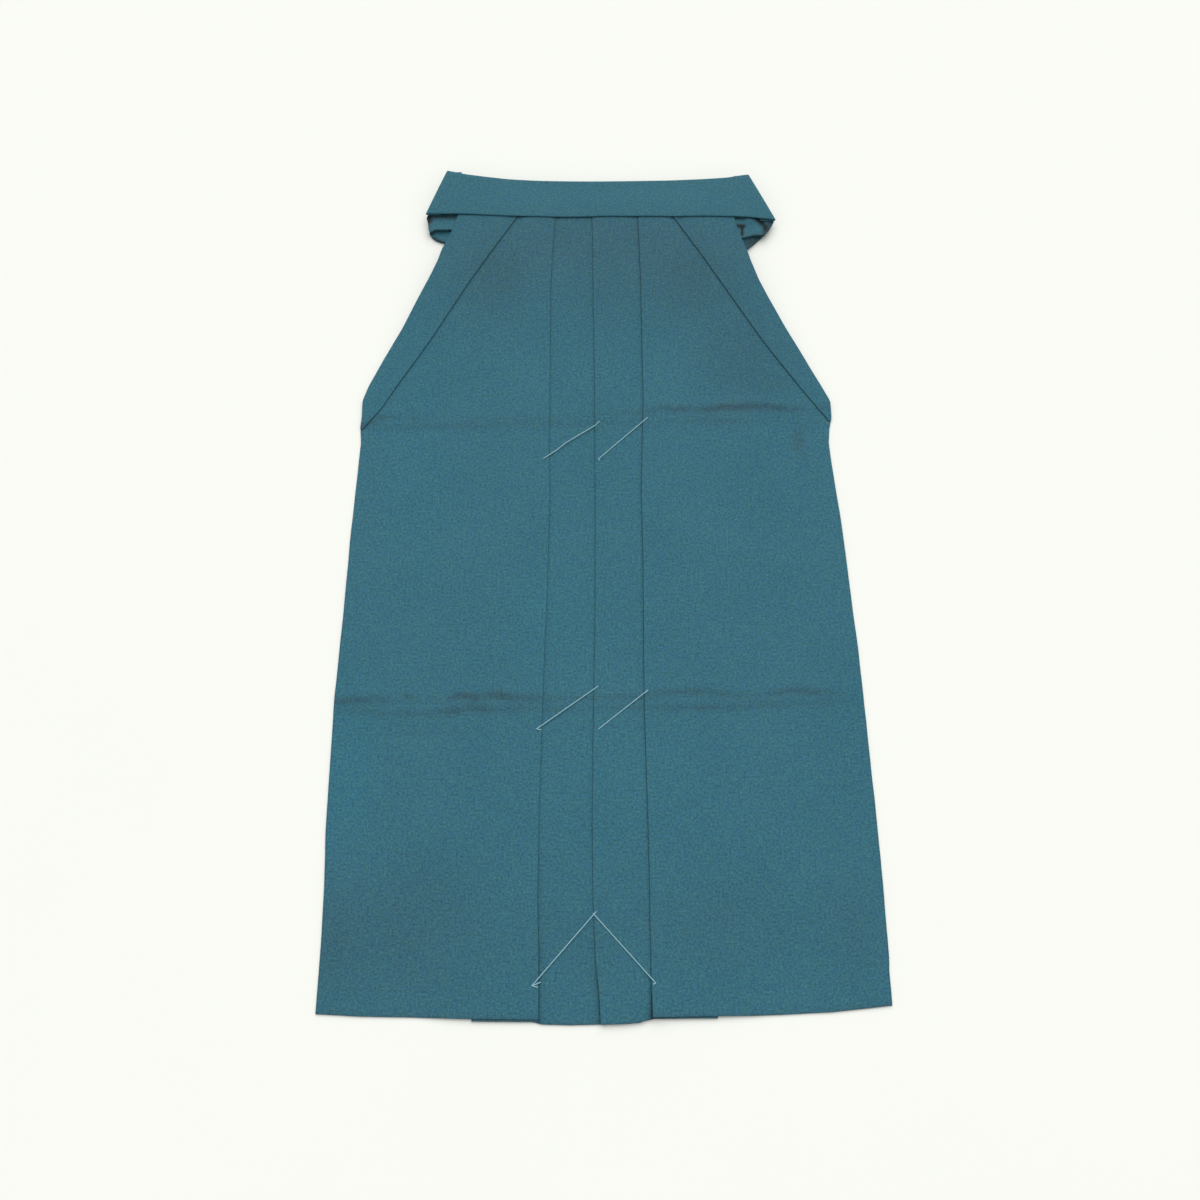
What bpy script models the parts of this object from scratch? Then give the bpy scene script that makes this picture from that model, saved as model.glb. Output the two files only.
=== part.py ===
"""Hakama trousers laid flat on their back, front up. Metres, +Z up out of the front, +Y to the waist.

Each piece is a closed wall: its middle surface is a grid, one column for each station across the cloth and
one row for each height, and Solidify gives it its thickness. Heights above the table come from the number
of layers beneath. Measures up the garment run from the lowest point of the hem, measures across it from
the middle of the front, and the last step moves the origin under the middle of the whole.
"""
import math
from collections import namedtuple

import bpy
import bmesh
from mathutils import Vector

for leftover in list(bpy.data.objects):
    bpy.data.objects.remove(leftover, do_unlink=True)

# Driving sizes
WALL = 0.0010            # cloth of a panel
GAP = 0.0003             # between layers and at seams
PITCH = WALL + GAP       # height of one layer
BAND_WALL = 0.0024       # waistband: cloth turned over a stiffener
PANEL_TOP = 0.922        # upper edge of the front panels, tucked under the band
BACK_TOP = 0.9050        # upper edge of the back panels, at the back band's seam
SLIT = {"left": 0.647, "right": 0.657}    # lower end of the side openings
SIGN = {"left": -1, "right": 1}
CENTRE_LAP = 0.022       # hidden lap of both panels under the centre fold
LAP_CLEAR = 0.004        # the strip stays level this far past the lap
RAMP_WAIST = 0.024       # stretch over which a panel sinks from its pleat to the back panel
RAMP_HEM = 0.060
RAMP_START = 0.003       # it starts this far outside the hidden fold
SIDE_INSET = 0.004       # hidden edges lie this far inside the visible side pleat
FOLD_STEPS = 3           # facets round a folded edge
WAIST_RISE = 0.008       # how far the folded ties lift the front at the waist
RISE_FROM, RISE_TO = 0.700, 0.885
GUSSET_HALF = 0.045
GUSSET_LOW, GUSSET_WIDE, GUSSET_HIGH = 0.38, 0.50, 0.60
GUSSET_SPREAD = 0.16     # the front comes down to the back panel this far from the middle
GUSSET_RISE, GUSSET_FALL = (0.12, 0.30), (0.66, 0.80)

# Side outline of the front, from the hem to the band; above the slit it is the side pleat's outer edge
Side = namedtuple("Side", "y left right")
SIDES = [
    Side(0.000, -0.2880, 0.2945),
    Side(0.045, -0.2873, 0.2944),
    Side(0.080, -0.2866, 0.2944),
    Side(0.133, -0.2862, 0.2932),
    Side(0.194, -0.2881, 0.2910),
    Side(0.257, -0.2879, 0.2878),
    Side(0.322, -0.2874, 0.2847),
    Side(0.388, -0.2845, 0.2810),
    Side(0.456, -0.2814, 0.2759),
    Side(0.525, -0.2791, 0.2708),
    Side(0.597, -0.2751, 0.2640),
    Side(0.630, -0.2736, 0.2609),
    Side(0.648, -0.2750, 0.2625),
    Side(0.660, -0.2738, 0.2647),
    Side(0.681, -0.2739, 0.2641),
    Side(0.700, -0.2674, 0.2550),
    Side(0.733, -0.2516, 0.2379),
    Side(0.770, -0.2323, 0.2179),
    Side(0.808, -0.2147, 0.1986),
    Side(0.833, -0.2033, 0.1869),
    Side(0.858, -0.1924, 0.1779),
    Side(0.873, -0.1880, 0.1735),
    Side(0.888, -0.1806, 0.1678),
    Side(0.905, -0.1740, 0.1620),
    Side(0.922, -0.1690, 0.1580),
]

# Folded edges of the knife pleats; left_under and right_under are the hidden folds behind them
Pleat = namedtuple("Pleat", "y left centre right left_under right_under")
PLEATS = [
    Pleat(0.000, -0.0624, 0.0002, 0.0526, -0.1300, 0.1185),
    Pleat(0.030, -0.0628, -0.0012, 0.0521, -0.1280, 0.1170),
    Pleat(0.065, -0.0634, -0.0051, 0.0517, -0.1255, 0.1152),
    Pleat(0.120, -0.0650, -0.0072, 0.0512, -0.1224, 0.1122),
    Pleat(0.200, -0.0650, -0.0084, 0.0501, -0.1180, 0.1078),
    Pleat(0.330, -0.0624, -0.0070, 0.0473, -0.1108, 0.1005),
    Pleat(0.440, -0.0593, -0.0055, 0.0476, -0.1047, 0.0944),
    Pleat(0.560, -0.0573, -0.0055, 0.0464, -0.0981, 0.0880),
    Pleat(0.680, -0.0587, -0.0063, 0.0494, -0.0914, 0.0816),
    Pleat(0.820, -0.0588, -0.0082, 0.0478, -0.0837, 0.0748),
    Pleat(0.922, -0.0545, -0.0096, 0.0450, -0.0780, 0.0700),
]

# Inner folded edge of the slanted side pleats
Slant = namedtuple("Slant", "y left right")
SLANTS = [
    Slant(0.647, -0.2723, 0.2700),
    Slant(0.657, -0.2640, 0.2625),
    Slant(0.671, -0.2531, 0.2514),
    Slant(0.704, -0.2332, 0.2277),
    Slant(0.758, -0.1983, 0.1893),
    Slant(0.809, -0.1680, 0.1562),
    Slant(0.860, -0.1346, 0.1225),
    Slant(0.922, -0.0922, 0.0817),
]

# Hem of the outer layer; the layers behind a pleat hang a little lower
Hem = namedtuple("Hem", "x y")
OUTER_HEM = [
    Hem(-0.288, 0.0113),
    Hem(-0.238, 0.0091),
    Hem(-0.212, 0.0088),
    Hem(-0.140, 0.0071),
    Hem(-0.063, 0.0061),
    Hem(0.053, 0.0086),
    Hem(0.119, 0.0097),
    Hem(0.154, 0.0101),
    Hem(0.182, 0.0109),
    Hem(0.236, 0.0136),
    Hem(0.294, 0.0198),
]
# Hems of the hidden layers behind a pleat, and of the strip in the middle with its hidden parts
RETURN_HEM = [
    Hem(-0.130, 0.0042),
    Hem(-0.064, 0.0036),
    Hem(0.054, 0.0068),
    Hem(0.119, 0.0072),
]
STRIP_HEM = [
    Hem(-0.130, 0.0046),
    Hem(-0.068, 0.0042),
    Hem(-0.060, 0.0017),
    Hem(-0.030, 0.0009),
    Hem(0.000, 0.0016),
    Hem(0.027, 0.0030),
    Hem(0.044, 0.0046),
    Hem(0.056, 0.0074),
    Hem(0.119, 0.0078),
]
BACK_HEM_LIFT = 0.0015   # the back's hem and sides lie just inside the front's
BACK_INSET = 0.0010
HEM_REACH = 0.25         # the hem's slope fades out at this height

# Creases left by folding the garment in three, soft ridges across the front
Crease = namedtuple("Crease", "left_y right_y right_tilt height half_width")
CREASES = [
    Crease(0.3290, 0.3350, -0.01, 0.0011, 0.008),
    Crease(0.6460, 0.6630, 0.07, 0.0012, 0.009),
]

CREASE_LEFT, CREASE_RIGHT = -0.06, 0.05    # between them a crease steps from left_y to right_y

# Heights up the garment at which the walls have a row
ROWS = [
    0.0, 0.03, 0.065, 0.12, 0.20, 0.318, 0.330, 0.342, 0.44, 0.54, 0.62, 0.638, 0.647, 0.657, 0.667,
    0.678, 0.70, 0.725, 0.758, 0.79, 0.827, 0.853, 0.878, 0.90, 0.922,
]

# Front waistband, across from one slanted end fold to the other, with the height of its middle
Band = namedtuple("Band", "low_x low_y top_x top_y low_z top_z")
BAND = [
    Band(-0.2080, 0.9179, -0.1828, 0.9771, 0.0143, 0.0143),
    Band(-0.1930, 0.9179, -0.1710, 0.9735, 0.0147, 0.0140),
    Band(-0.1644, 0.9178, -0.1447, 0.9706, 0.0150, 0.0126),
    Band(-0.1191, 0.9156, -0.1100, 0.9674, 0.0156, 0.0112),
    Band(-0.0750, 0.9143, -0.0700, 0.9652, 0.0161, 0.0108),
    Band(0.0000, 0.9139, 0.0000, 0.9642, 0.0162, 0.0107),
    Band(0.0330, 0.9141, 0.0330, 0.9644, 0.0164, 0.0107),
    Band(0.0850, 0.9140, 0.0830, 0.9654, 0.0165, 0.0108),
    Band(0.1250, 0.9145, 0.1206, 0.9670, 0.0153, 0.0114),
    Band(0.1666, 0.9138, 0.1520, 0.9682, 0.0149, 0.0128),
    Band(0.1910, 0.9122, 0.1658, 0.9703, 0.0147, 0.0140),
    Band(0.2075, 0.9102, 0.1764, 0.9716, 0.0143, 0.0143),
]
BAND_ROWS = (0.0, 0.10, 0.24, 0.42, 0.60, 0.78, 1.0)
BAND_SLOPE_FROM = 0.22   # share of the band's width that lies level on the panels
BAND_SLOPE_TO = 0.85
BAND_TURN = 0.0019       # middle radius of its end folds
BAND_RETURN = 0.016      # how far the folded end runs back underneath

# Outlines of the folded ties, of the back band and of the gusset, round the piece
Corner = namedtuple("Corner", "x y")
FRONT_TIES = {
    "left": [Corner(-0.2013, 0.8978), Corner(-0.1950, 0.9012), Corner(-0.1831, 0.9020),
             Corner(-0.0120, 0.9030), Corner(-0.0120, 0.9550), Corner(-0.1800, 0.9660),
             Corner(-0.2058, 0.9140), Corner(-0.2047, 0.9015)],
    "right": [Corner(0.1962, 0.8935), Corner(0.1701, 0.8890), Corner(0.0120, 0.8930),
              Corner(0.0120, 0.9550), Corner(0.1740, 0.9610), Corner(0.2066, 0.9085),
              Corner(0.2033, 0.9019)],
}
BACK_TIES = {
    "left": [Corner(-0.2022, 0.8985), Corner(-0.1985, 0.8908), Corner(-0.1862, 0.8803),
             Corner(-0.1700, 0.8775), Corner(-0.0120, 0.8800), Corner(-0.0120, 0.9450),
             Corner(-0.1780, 0.9550), Corner(-0.2005, 0.9160)],
    "right": [Corner(0.1950, 0.8948), Corner(0.1890, 0.8882), Corner(0.1760, 0.8778),
              Corner(0.1550, 0.8745), Corner(0.0120, 0.8760), Corner(0.0120, 0.9450),
              Corner(0.1720, 0.9520), Corner(0.1985, 0.9100)],
}
BACK_BAND = [Corner(-0.160, BACK_TOP + GAP), Corner(0.150, BACK_TOP + GAP),
             Corner(0.150, 0.9520), Corner(-0.160, 0.9520)]
GUSSET = [Corner(0.0, GUSSET_LOW), Corner(GUSSET_HALF, GUSSET_WIDE),
          Corner(0.0, GUSSET_HIGH), Corner(-GUSSET_HALF, GUSSET_WIDE)]
BACK_BAND_TOP = 0.0030
BACK_TIE_Z = (0.0033, 0.0057)
FRONT_TIE_Z = (0.0060, 0.0090)
TIE_LAYERS = {"front": 3, "back": 2}
TIE_DROOP = 0.0022       # how far the back ties' free ends sink beside the back band
TIE_DROOP_FROM, TIE_DROOP_TO = 0.165, 0.195
TIE_DROOP_CUTS = 3
CORNER_RADIUS = 0.004
LIP = 0.0007             # depth of the grooves between folded layers

CLOTH = (0.045, 0.153, 0.196, 1.0)


def smooth(low, high, value):
    """0 below low, 1 above high and an S-curve between them."""
    share = min(1.0, max(0.0, (value - low) / (high - low)))
    return share * share * (3.0 - 2.0 * share)


def read(table, column, value, key="y"):
    """A column of a table at any value of its first column, in straight lines between the rows."""
    below = table[0]
    for above in table[1:]:
        if value <= getattr(above, key):
            break
        below = above
    low, high = getattr(below, key), getattr(above, key)
    share = min(1.0, max(0.0, (value - low) / (high - low))) if high > low else 0.0
    return getattr(below, column) * (1.0 - share) + getattr(above, column) * share


def crease_height(x, y):
    height = 0.0
    for crease in CREASES:
        across = smooth(CREASE_LEFT, CREASE_RIGHT, x)
        line = crease.left_y * (1.0 - across) + crease.right_y * across
        line += crease.right_tilt * max(0.0, x - CREASE_RIGHT)
        height += crease.height * math.exp(-((y - line) / crease.half_width) ** 2)
    return height


def common_lift(x, y):
    """Height that all front layers share: the gusset, the ties at the waist and the creases."""
    over_gusset = 1.0 - smooth(GUSSET_HALF + 0.01, GUSSET_SPREAD, abs(x))
    over_gusset *= smooth(*GUSSET_RISE, y) * (1.0 - smooth(*GUSSET_FALL, y))
    return PITCH * over_gusset + WAIST_RISE * smooth(RISE_FROM, RISE_TO, y) + crease_height(x, y)


def ramp_width(y):
    return RAMP_HEM + (RAMP_WAIST - RAMP_HEM) * y / PANEL_TOP


def strip_level(side, x, y):
    """Layers beneath the centre strip: the right half starts on the left half's lap."""
    if side == "left":
        return 1.0
    start = read(PLEATS, "centre", y) + CENTRE_LAP + LAP_CLEAR
    end = read(PLEATS, "right_under", y)
    return 3.0 - 2.0 * min(1.0, max(0.0, (x - start) / (end - start)))


def outer_level(side, x, y):
    """Layers beneath the outer layer: two over the pleat, then down to the back panel."""
    under = abs(read(PLEATS, side + "_under", y))
    if abs(x) <= under:
        return strip_level(side, x, y) + 2.0
    start = under + RAMP_START
    return 3.0 - 2.0 * smooth(start, start + ramp_width(y), abs(x))


def middle_z(level, x, y):
    return WALL / 2 + PITCH * level + common_lift(x, y)


def hemmed(y, hem):
    """The height y of a row, moved up near the hem so that the lowest row ends at hem."""
    return y + hem * max(0.0, 1.0 - y / HEM_REACH)


def fold(edge, facing, level, y, hems):
    """Stations round a folded edge at x = edge, from a layer up to the next one."""
    radius = PITCH / 2
    hem = read(hems, "y", edge, "x")
    stations = []
    for step in range(FOLD_STEPS + 1):
        angle = math.pi * (step / FOLD_STEPS - 0.5)
        x = edge + facing * radius * (math.cos(angle) - 1.0)
        z = middle_z(level + 0.5, edge, y) + radius * math.sin(angle)
        stations.append(Vector((x, hemmed(y, hem), z)))
    return stations


def layer(start, end, steps, level_at, y, hems):
    """Stations along one flat layer, from x = start up to but not including its fold at x = end."""
    stations = []
    for step in range(steps):
        x = start + (end - start) * step / steps
        stations.append(Vector((x, hemmed(y, read(hems, "y", x, "x")), middle_z(level_at(x), x, y))))
    return stations


def material(name):
    made = bpy.data.materials.new(name)
    made.use_nodes = True
    shader = made.node_tree.nodes["Principled BSDF"]
    shader.inputs["Base Color"].default_value = CLOTH
    shader.inputs["Roughness"].default_value = 0.85
    shader.inputs["Metallic"].default_value = 0.0
    return made


def add_object(name, mesh_maker):
    mesh = bpy.data.meshes.new(name)
    mesh_maker.normal_update()
    mesh_maker.to_mesh(mesh)
    mesh_maker.free()
    mesh.materials.append(material(name + "_cloth"))
    piece = bpy.data.objects.new(name, mesh)
    bpy.context.scene.collection.objects.link(piece)
    return piece


def wall(name, lines, thickness):
    """A closed wall about a grid of middle points; lines holds the stations of each row, hem to waist."""
    columns = len(lines[0])
    maker = bmesh.new()
    bmesh.ops.create_grid(maker, x_segments=columns - 1, y_segments=len(lines) - 1, size=1.0)
    maker.verts.ensure_lookup_table()
    for index, vertex in enumerate(maker.verts):
        vertex.co = lines[index // columns][index % columns]
    piece = add_object(name, maker)
    thick = piece.modifiers.new("thickness", "SOLIDIFY")
    thick.thickness = thickness
    thick.offset = 0.0
    thick.use_even_offset = True
    return piece


def outer_layer(side, start, under, edge, y):
    """Stations of the layer that shows, from the pleat over the hidden fold and out to the side."""
    out = SIGN[side]
    ramp = [under + out * (RAMP_START + ramp_width(y) * share) for share in (0.0, 0.3, 0.6, 1.0)]
    places = [start + (under - start) * 0.5] + ramp
    places += [ramp[-1] + (edge - ramp[-1]) * share for share in (0.3, 0.65, 1.0)]
    stations = []
    for x in places:
        height = middle_z(outer_level(side, x, y), x, y)
        stations.append(Vector((x, hemmed(y, read(OUTER_HEM, "y", x, "x")), height)))
    return stations


def front_left():
    lines = []
    for y in ROWS:
        lap = read(PLEATS, "centre", y) + CENTRE_LAP
        under = read(PLEATS, "left_under", y)
        pleat = read(PLEATS, "left", y)
        side = read(SIDES, "left", y) + (SIDE_INSET if y > SLIT["left"] else 0.0)
        turn = PITCH / 2
        line = layer(lap, under + turn, 6, lambda x: 1.0, y, STRIP_HEM)
        line += fold(under, -1, 1.0, y, RETURN_HEM)
        line += layer(under + turn, pleat - turn, 3, lambda x: 2.0, y, RETURN_HEM)[1:]
        line += fold(pleat, 1, 2.0, y, OUTER_HEM)
        line += outer_layer("left", pleat - turn, under, side, y)
        lines.append(line)
    return wall("front_left", lines, WALL)


def front_right():
    lines = []
    for y in ROWS:
        centre = read(PLEATS, "centre", y)
        lap = centre + CENTRE_LAP
        under = read(PLEATS, "right_under", y)
        pleat = read(PLEATS, "right", y)
        side = read(SIDES, "right", y) - (SIDE_INSET if y > SLIT["right"] else 0.0)
        turn = PITCH / 2

        def strip(x):
            return strip_level("right", x, y)

        line = layer(lap, centre + turn, 2, lambda x: 2.0, y, STRIP_HEM)
        line += fold(centre, -1, 2.0, y, STRIP_HEM)
        line += layer(centre + turn, under - turn, 6, strip, y, STRIP_HEM)[1:]
        line += fold(under, 1, strip(under), y, RETURN_HEM)
        line += layer(under - turn, pleat + turn, 3, lambda x: strip(x) + 1.0, y, RETURN_HEM)[1:]
        line += fold(pleat, -1, strip(pleat) + 1.0, y, OUTER_HEM)
        line += outer_layer("right", pleat + turn, under, side, y)
        lines.append(line)
    return wall("front_right", lines, WALL)


def side_pleat(side):
    """The slanted pleat over the side opening: from its hidden edge in, round the slant and out."""
    out = SIGN[side]
    lines = []
    for y in ROWS:
        if y < SLIT[side]:
            continue
        slant = read(SLANTS, side, y)
        edge = read(SIDES, side, y)
        hidden = edge - out * min(SIDE_INSET, 0.5 * abs(edge - slant))
        turn = PITCH / 2

        def main(x):
            return outer_level(side, x, y)

        line = layer(hidden, slant + out * turn, 3, lambda x: main(x) + 1.0, y, OUTER_HEM)
        line += fold(slant, -out, main(slant) + 1.0, y, OUTER_HEM)
        line += layer(slant + out * turn, edge, 3, lambda x: main(x) + 2.0, y, OUTER_HEM)[1:]
        line.append(Vector((edge, y, middle_z(main(edge) + 2.0, edge, y))))
        lines.append(line)
    return wall("side_pleat_" + side, lines, WALL)


def back_panel(side):
    out = SIGN[side]
    lines = []
    for y in [row for row in ROWS if row < BACK_TOP] + [BACK_TOP]:
        hidden_by = BACK_INSET if y < SLIT[side] else 2 * SIDE_INSET
        edge = read(SIDES, side, y) - out * hidden_by
        line = []
        for share in (0.0, 0.35, 0.7, 1.0):
            x = out * GAP / 2 + (edge - out * GAP / 2) * share
            hem = read(OUTER_HEM, "y", x, "x") + BACK_HEM_LIFT
            line.append(Vector((x, hemmed(y, hem), WALL / 2)))
        lines.append(line)
    return wall("back_" + side, lines, WALL)


def rounded(outline, radius):
    """The outline with each corner cut to a short arc of three points."""
    points = []
    for index, corner in enumerate(outline):
        here = Vector(corner)
        before = Vector(outline[index - 1]) - here
        after = Vector(outline[(index + 1) % len(outline)]) - here
        reach = min(radius, 0.4 * before.length, 0.4 * after.length)
        first = here + before.normalized() * reach
        last = here + after.normalized() * reach
        points += [first, (first + last + 2 * here) / 4, last]
    return points


def inset(points, depth):
    """The outline moved inwards by depth, each point along the mean of its two edges' normals."""
    area = sum(a.x * b.y - b.x * a.y for a, b in zip(points, points[1:] + points[:1]))
    turn = 1.0 if area > 0 else -1.0
    moved = []
    for index, point in enumerate(points):
        along = (points[(index + 1) % len(points)] - points[index - 1]).normalized()
        moved.append(point + turn * depth * Vector((-along.y, along.x)))
    return moved


def slab(name, outline, low, high, layers, droops=False):
    """A flat pack of folded layers: rings up its edge, with a groove between each two layers."""
    points = rounded(outline, CORNER_RADIUS)
    each = (high - low) / layers
    rings = []
    for number in range(layers):
        base = low + number * each
        rings += [(base, LIP), (base + 0.25 * each, 0.0), (base + 0.75 * each, 0.0)]
    rings.append((high, LIP))
    maker = bmesh.new()
    previous = None
    for height, depth in rings:
        ring = [maker.verts.new((p.x, p.y, height)) for p in inset(points, depth)]
        if previous is None:
            maker.faces.new(ring)
        else:
            for index in range(len(ring)):
                after = (index + 1) % len(ring)
                maker.faces.new((previous[index], previous[after], ring[after], ring[index]))
        previous = ring
    maker.faces.new(list(reversed(previous)))
    if droops:
        sink_end(maker, -1 if points[0].x < 0 else 1)
    bmesh.ops.recalc_face_normals(maker, faces=maker.faces)
    return add_object(name, maker)


def sink_end(maker, out):
    """Bends the free end of a pack down towards the table."""
    for cut in range(TIE_DROOP_CUTS + 1):
        x = TIE_DROOP_FROM + (TIE_DROOP_TO - TIE_DROOP_FROM) * cut / TIE_DROOP_CUTS
        everything = maker.verts[:] + maker.edges[:] + maker.faces[:]
        place = (out * x, 0.0, 0.0)
        bmesh.ops.bisect_plane(maker, geom=everything, plane_co=place, plane_no=(1.0, 0.0, 0.0))
    for vertex in maker.verts:
        vertex.co.z -= TIE_DROOP * smooth(TIE_DROOP_FROM, TIE_DROOP_TO, abs(vertex.co.x))


def waistband_front():
    """The band, level on the panels and sloping to its top edge, with both ends folded under."""
    lines = []
    for share in BAND_ROWS:
        slope = smooth(BAND_SLOPE_FROM, BAND_SLOPE_TO, share)
        line = []
        for band in BAND:
            x = band.low_x + (band.top_x - band.low_x) * share
            y = band.low_y + (band.top_y - band.low_y) * share
            line.append(Vector((x, y, band.low_z + (band.top_z - band.low_z) * slope)))
        lines.append(end_fold(line, -1)[::-1] + line[1:-1] + end_fold(line, 1))
    return wall("waistband_front", lines, BAND_WALL)


def end_fold(line, out):
    """Stations from an end of the band round its fold and back underneath."""
    end = line[-1] if out > 0 else line[0]
    stations = []
    for step in range(2 * FOLD_STEPS + 1):
        angle = math.pi * (0.5 - step / (2 * FOLD_STEPS))
        away = out * BAND_TURN * math.cos(angle)
        stations.append(end + Vector((away, 0.0, BAND_TURN * (math.sin(angle) - 1.0))))
    stations.append(stations[-1] - Vector((out * BAND_RETURN, 0.0, 0.0)))
    return stations


def centre_on_origin(pieces):
    """Moves all pieces so that the middle of the whole outline is above the origin."""
    bpy.context.view_layer.update()
    graph = bpy.context.evaluated_depsgraph_get()
    corners = []
    for piece in pieces:
        corners += [Vector(corner) for corner in piece.evaluated_get(graph).bound_box]
    middle_x = (min(c.x for c in corners) + max(c.x for c in corners)) / 2
    middle_y = (min(c.y for c in corners) + max(c.y for c in corners)) / 2
    for piece in pieces:
        piece.location = (-middle_x, -middle_y, 0.0)


pieces = [back_panel("left"), back_panel("right")]
pieces.append(slab("waistband_back", BACK_BAND, 0.0, BACK_BAND_TOP, 1))
pieces.append(slab("gusset", GUSSET, PITCH, PITCH + WALL, 1))
pieces += [front_left(), front_right(), side_pleat("left"), side_pleat("right")]
for side in ("left", "right"):
    pieces.append(slab("back_tie_" + side, BACK_TIES[side], *BACK_TIE_Z, TIE_LAYERS["back"], True))
    pieces.append(slab("front_tie_" + side, FRONT_TIES[side], *FRONT_TIE_Z, TIE_LAYERS["front"]))
pieces.append(waistband_front())
centre_on_origin(pieces)
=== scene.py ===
"""Hakama trousers laid flat on their back, front up: cloth, sewing, table, light and camera.

Places are given on the garment, in metres: x across from the middle of the front, y up from the lowest
point of the hem and z up from the table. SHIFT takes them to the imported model's own origin.
"""

import math
from collections import namedtuple

import bmesh
import bpy
from mathutils import Matrix, Vector, noise


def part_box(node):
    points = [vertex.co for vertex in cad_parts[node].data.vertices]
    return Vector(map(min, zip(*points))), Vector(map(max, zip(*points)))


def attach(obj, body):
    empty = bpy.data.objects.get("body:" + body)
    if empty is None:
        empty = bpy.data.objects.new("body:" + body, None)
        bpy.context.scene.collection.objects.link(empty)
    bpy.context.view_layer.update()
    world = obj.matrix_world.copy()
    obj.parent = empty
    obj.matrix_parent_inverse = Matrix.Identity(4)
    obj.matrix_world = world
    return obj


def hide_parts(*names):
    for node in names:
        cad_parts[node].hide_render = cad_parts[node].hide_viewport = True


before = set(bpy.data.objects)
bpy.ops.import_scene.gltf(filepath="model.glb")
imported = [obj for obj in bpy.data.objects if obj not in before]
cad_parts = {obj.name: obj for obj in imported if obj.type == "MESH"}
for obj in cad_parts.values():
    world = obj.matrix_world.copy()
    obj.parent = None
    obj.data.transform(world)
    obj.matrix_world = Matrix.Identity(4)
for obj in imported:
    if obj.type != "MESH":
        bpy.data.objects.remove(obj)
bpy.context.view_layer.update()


# ---- Back panels ---------------------------------------
# Two lengths of plain-woven polyester, wide at the hem and narrow at the waist, joined down the middle
# of the seat. They lie on the table, and their turned-up hem and side edges show just inside the front's.

CLOTH = 0.00045          # one thickness of the cloth
CLEAR = 0.0003           # between the two back panels
PITCH = 0.0010           # from one layer to the next; they settle closer than the solids' walls
BACK_TOP = 0.9050        # upper edge of the back panels, at the back band's seam
BACK_INSET = 0.0010      # the back's sides and hem lie just inside the front's
BACK_HEM_LIFT = 0.0015
SIDE_INSET = 0.004
SLIT = {"left": 0.647, "right": 0.657}    # lower end of the side openings
SIGN = {"left": -1, "right": 1}
HEM_REACH = 0.25         # the hem's slope fades out at this height
EDGE = 0.0007            # a narrow strip of faces along each cut edge keeps its rounding tight
BACK_COLUMNS, BACK_ROWS = 32, 110
WAVER_SLOW, WAVER_QUICK, WAVER_QUICK_SHARE = 9.0, 34.0, 0.45
SIDE_WAVER = {"left": (1.0, 0.0006), "right": (3.0, 0.0006)}      # seed, and how far the edge wanders

back_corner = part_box("back_left")[1]
SHIFT = Vector((back_corner.x + CLEAR / 2, back_corner.y - BACK_TOP, 0.0))


def listed(columns, *rows):
    """A table of measures, whose rows have named columns."""
    Row = namedtuple("Row", columns)
    return [Row(*row) for row in rows]


# Side outline of the front, from the hem to the band; above the slit it is the side pleat's outer edge
SIDES = listed(
    "y left right",
    (0.000, -0.2880, 0.2953), (0.036, -0.2874, 0.2943), (0.049, -0.2872, 0.2951),
    (0.062, -0.2869, 0.2946), (0.080, -0.2866, 0.2941), (0.133, -0.2862, 0.2932),
    (0.194, -0.2881, 0.2910), (0.257, -0.2879, 0.2878), (0.322, -0.2874, 0.2847),
    (0.388, -0.2845, 0.2810), (0.456, -0.2814, 0.2759), (0.525, -0.2791, 0.2708),
    (0.597, -0.2751, 0.2640), (0.630, -0.2736, 0.2609), (0.648, -0.2750, 0.2625),
    (0.660, -0.2738, 0.2652), (0.681, -0.2739, 0.2646), (0.700, -0.2674, 0.2550),
    (0.733, -0.2516, 0.2379), (0.770, -0.2323, 0.2179), (0.808, -0.2147, 0.1986),
    (0.833, -0.2033, 0.1869), (0.858, -0.1924, 0.1779), (0.873, -0.1880, 0.1735),
    (0.888, -0.1806, 0.1678), (0.905, -0.1740, 0.1620), (0.922, -0.1690, 0.1580),
)

# Hem of the outer layer; the layers under a pleat hang a little lower
OUTER_HEM = listed(
    "x y",
    (-0.288, 0.0109), (-0.238, 0.0087), (-0.212, 0.0084), (-0.140, 0.0067), (-0.063, 0.0057),
    (0.053, 0.0082), (0.119, 0.0093), (0.154, 0.0097), (0.182, 0.0105), (0.236, 0.0132), (0.294, 0.0194),
)


def clamp(share):
    return min(1.0, max(0.0, share))


def smooth(low, high, value):
    """0 below low, 1 above high and an S-curve between them."""
    share = clamp((value - low) / (high - low))
    return share * share * (3.0 - 2.0 * share)


def read(table, column, value, key="y"):
    """A column of a table at any value of its key column, in straight lines between the rows."""
    below = table[0]
    for above in table[1:]:
        if value <= getattr(above, key):
            break
        below = above
    low, high = getattr(below, key), getattr(above, key)
    share = clamp((value - low) / (high - low)) if high > low else 0.0
    return getattr(below, column) * (1.0 - share) + getattr(above, column) * share


def bumpy(x, y, z):
    """Smooth noise at a place, from about -1 to 1; z tells one use from another."""
    return noise.noise(Vector((x, y, z)))


def waver(place, seed, reach):
    """The slow wander of a pressed edge along its length."""
    quick = bumpy(place * WAVER_QUICK, seed, 5.0)
    return reach * (bumpy(place * WAVER_SLOW, seed, 0.0) + WAVER_QUICK_SHARE * quick)


def side_edge(side, y):
    return read(SIDES, side, y) + waver(y, *SIDE_WAVER[side])


def hemmed(y, hem):
    """The height y of a row, moved up near the hem so that the lowest row ends at hem."""
    return y + hem * max(0.0, 1.0 - y / HEM_REACH)


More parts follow.
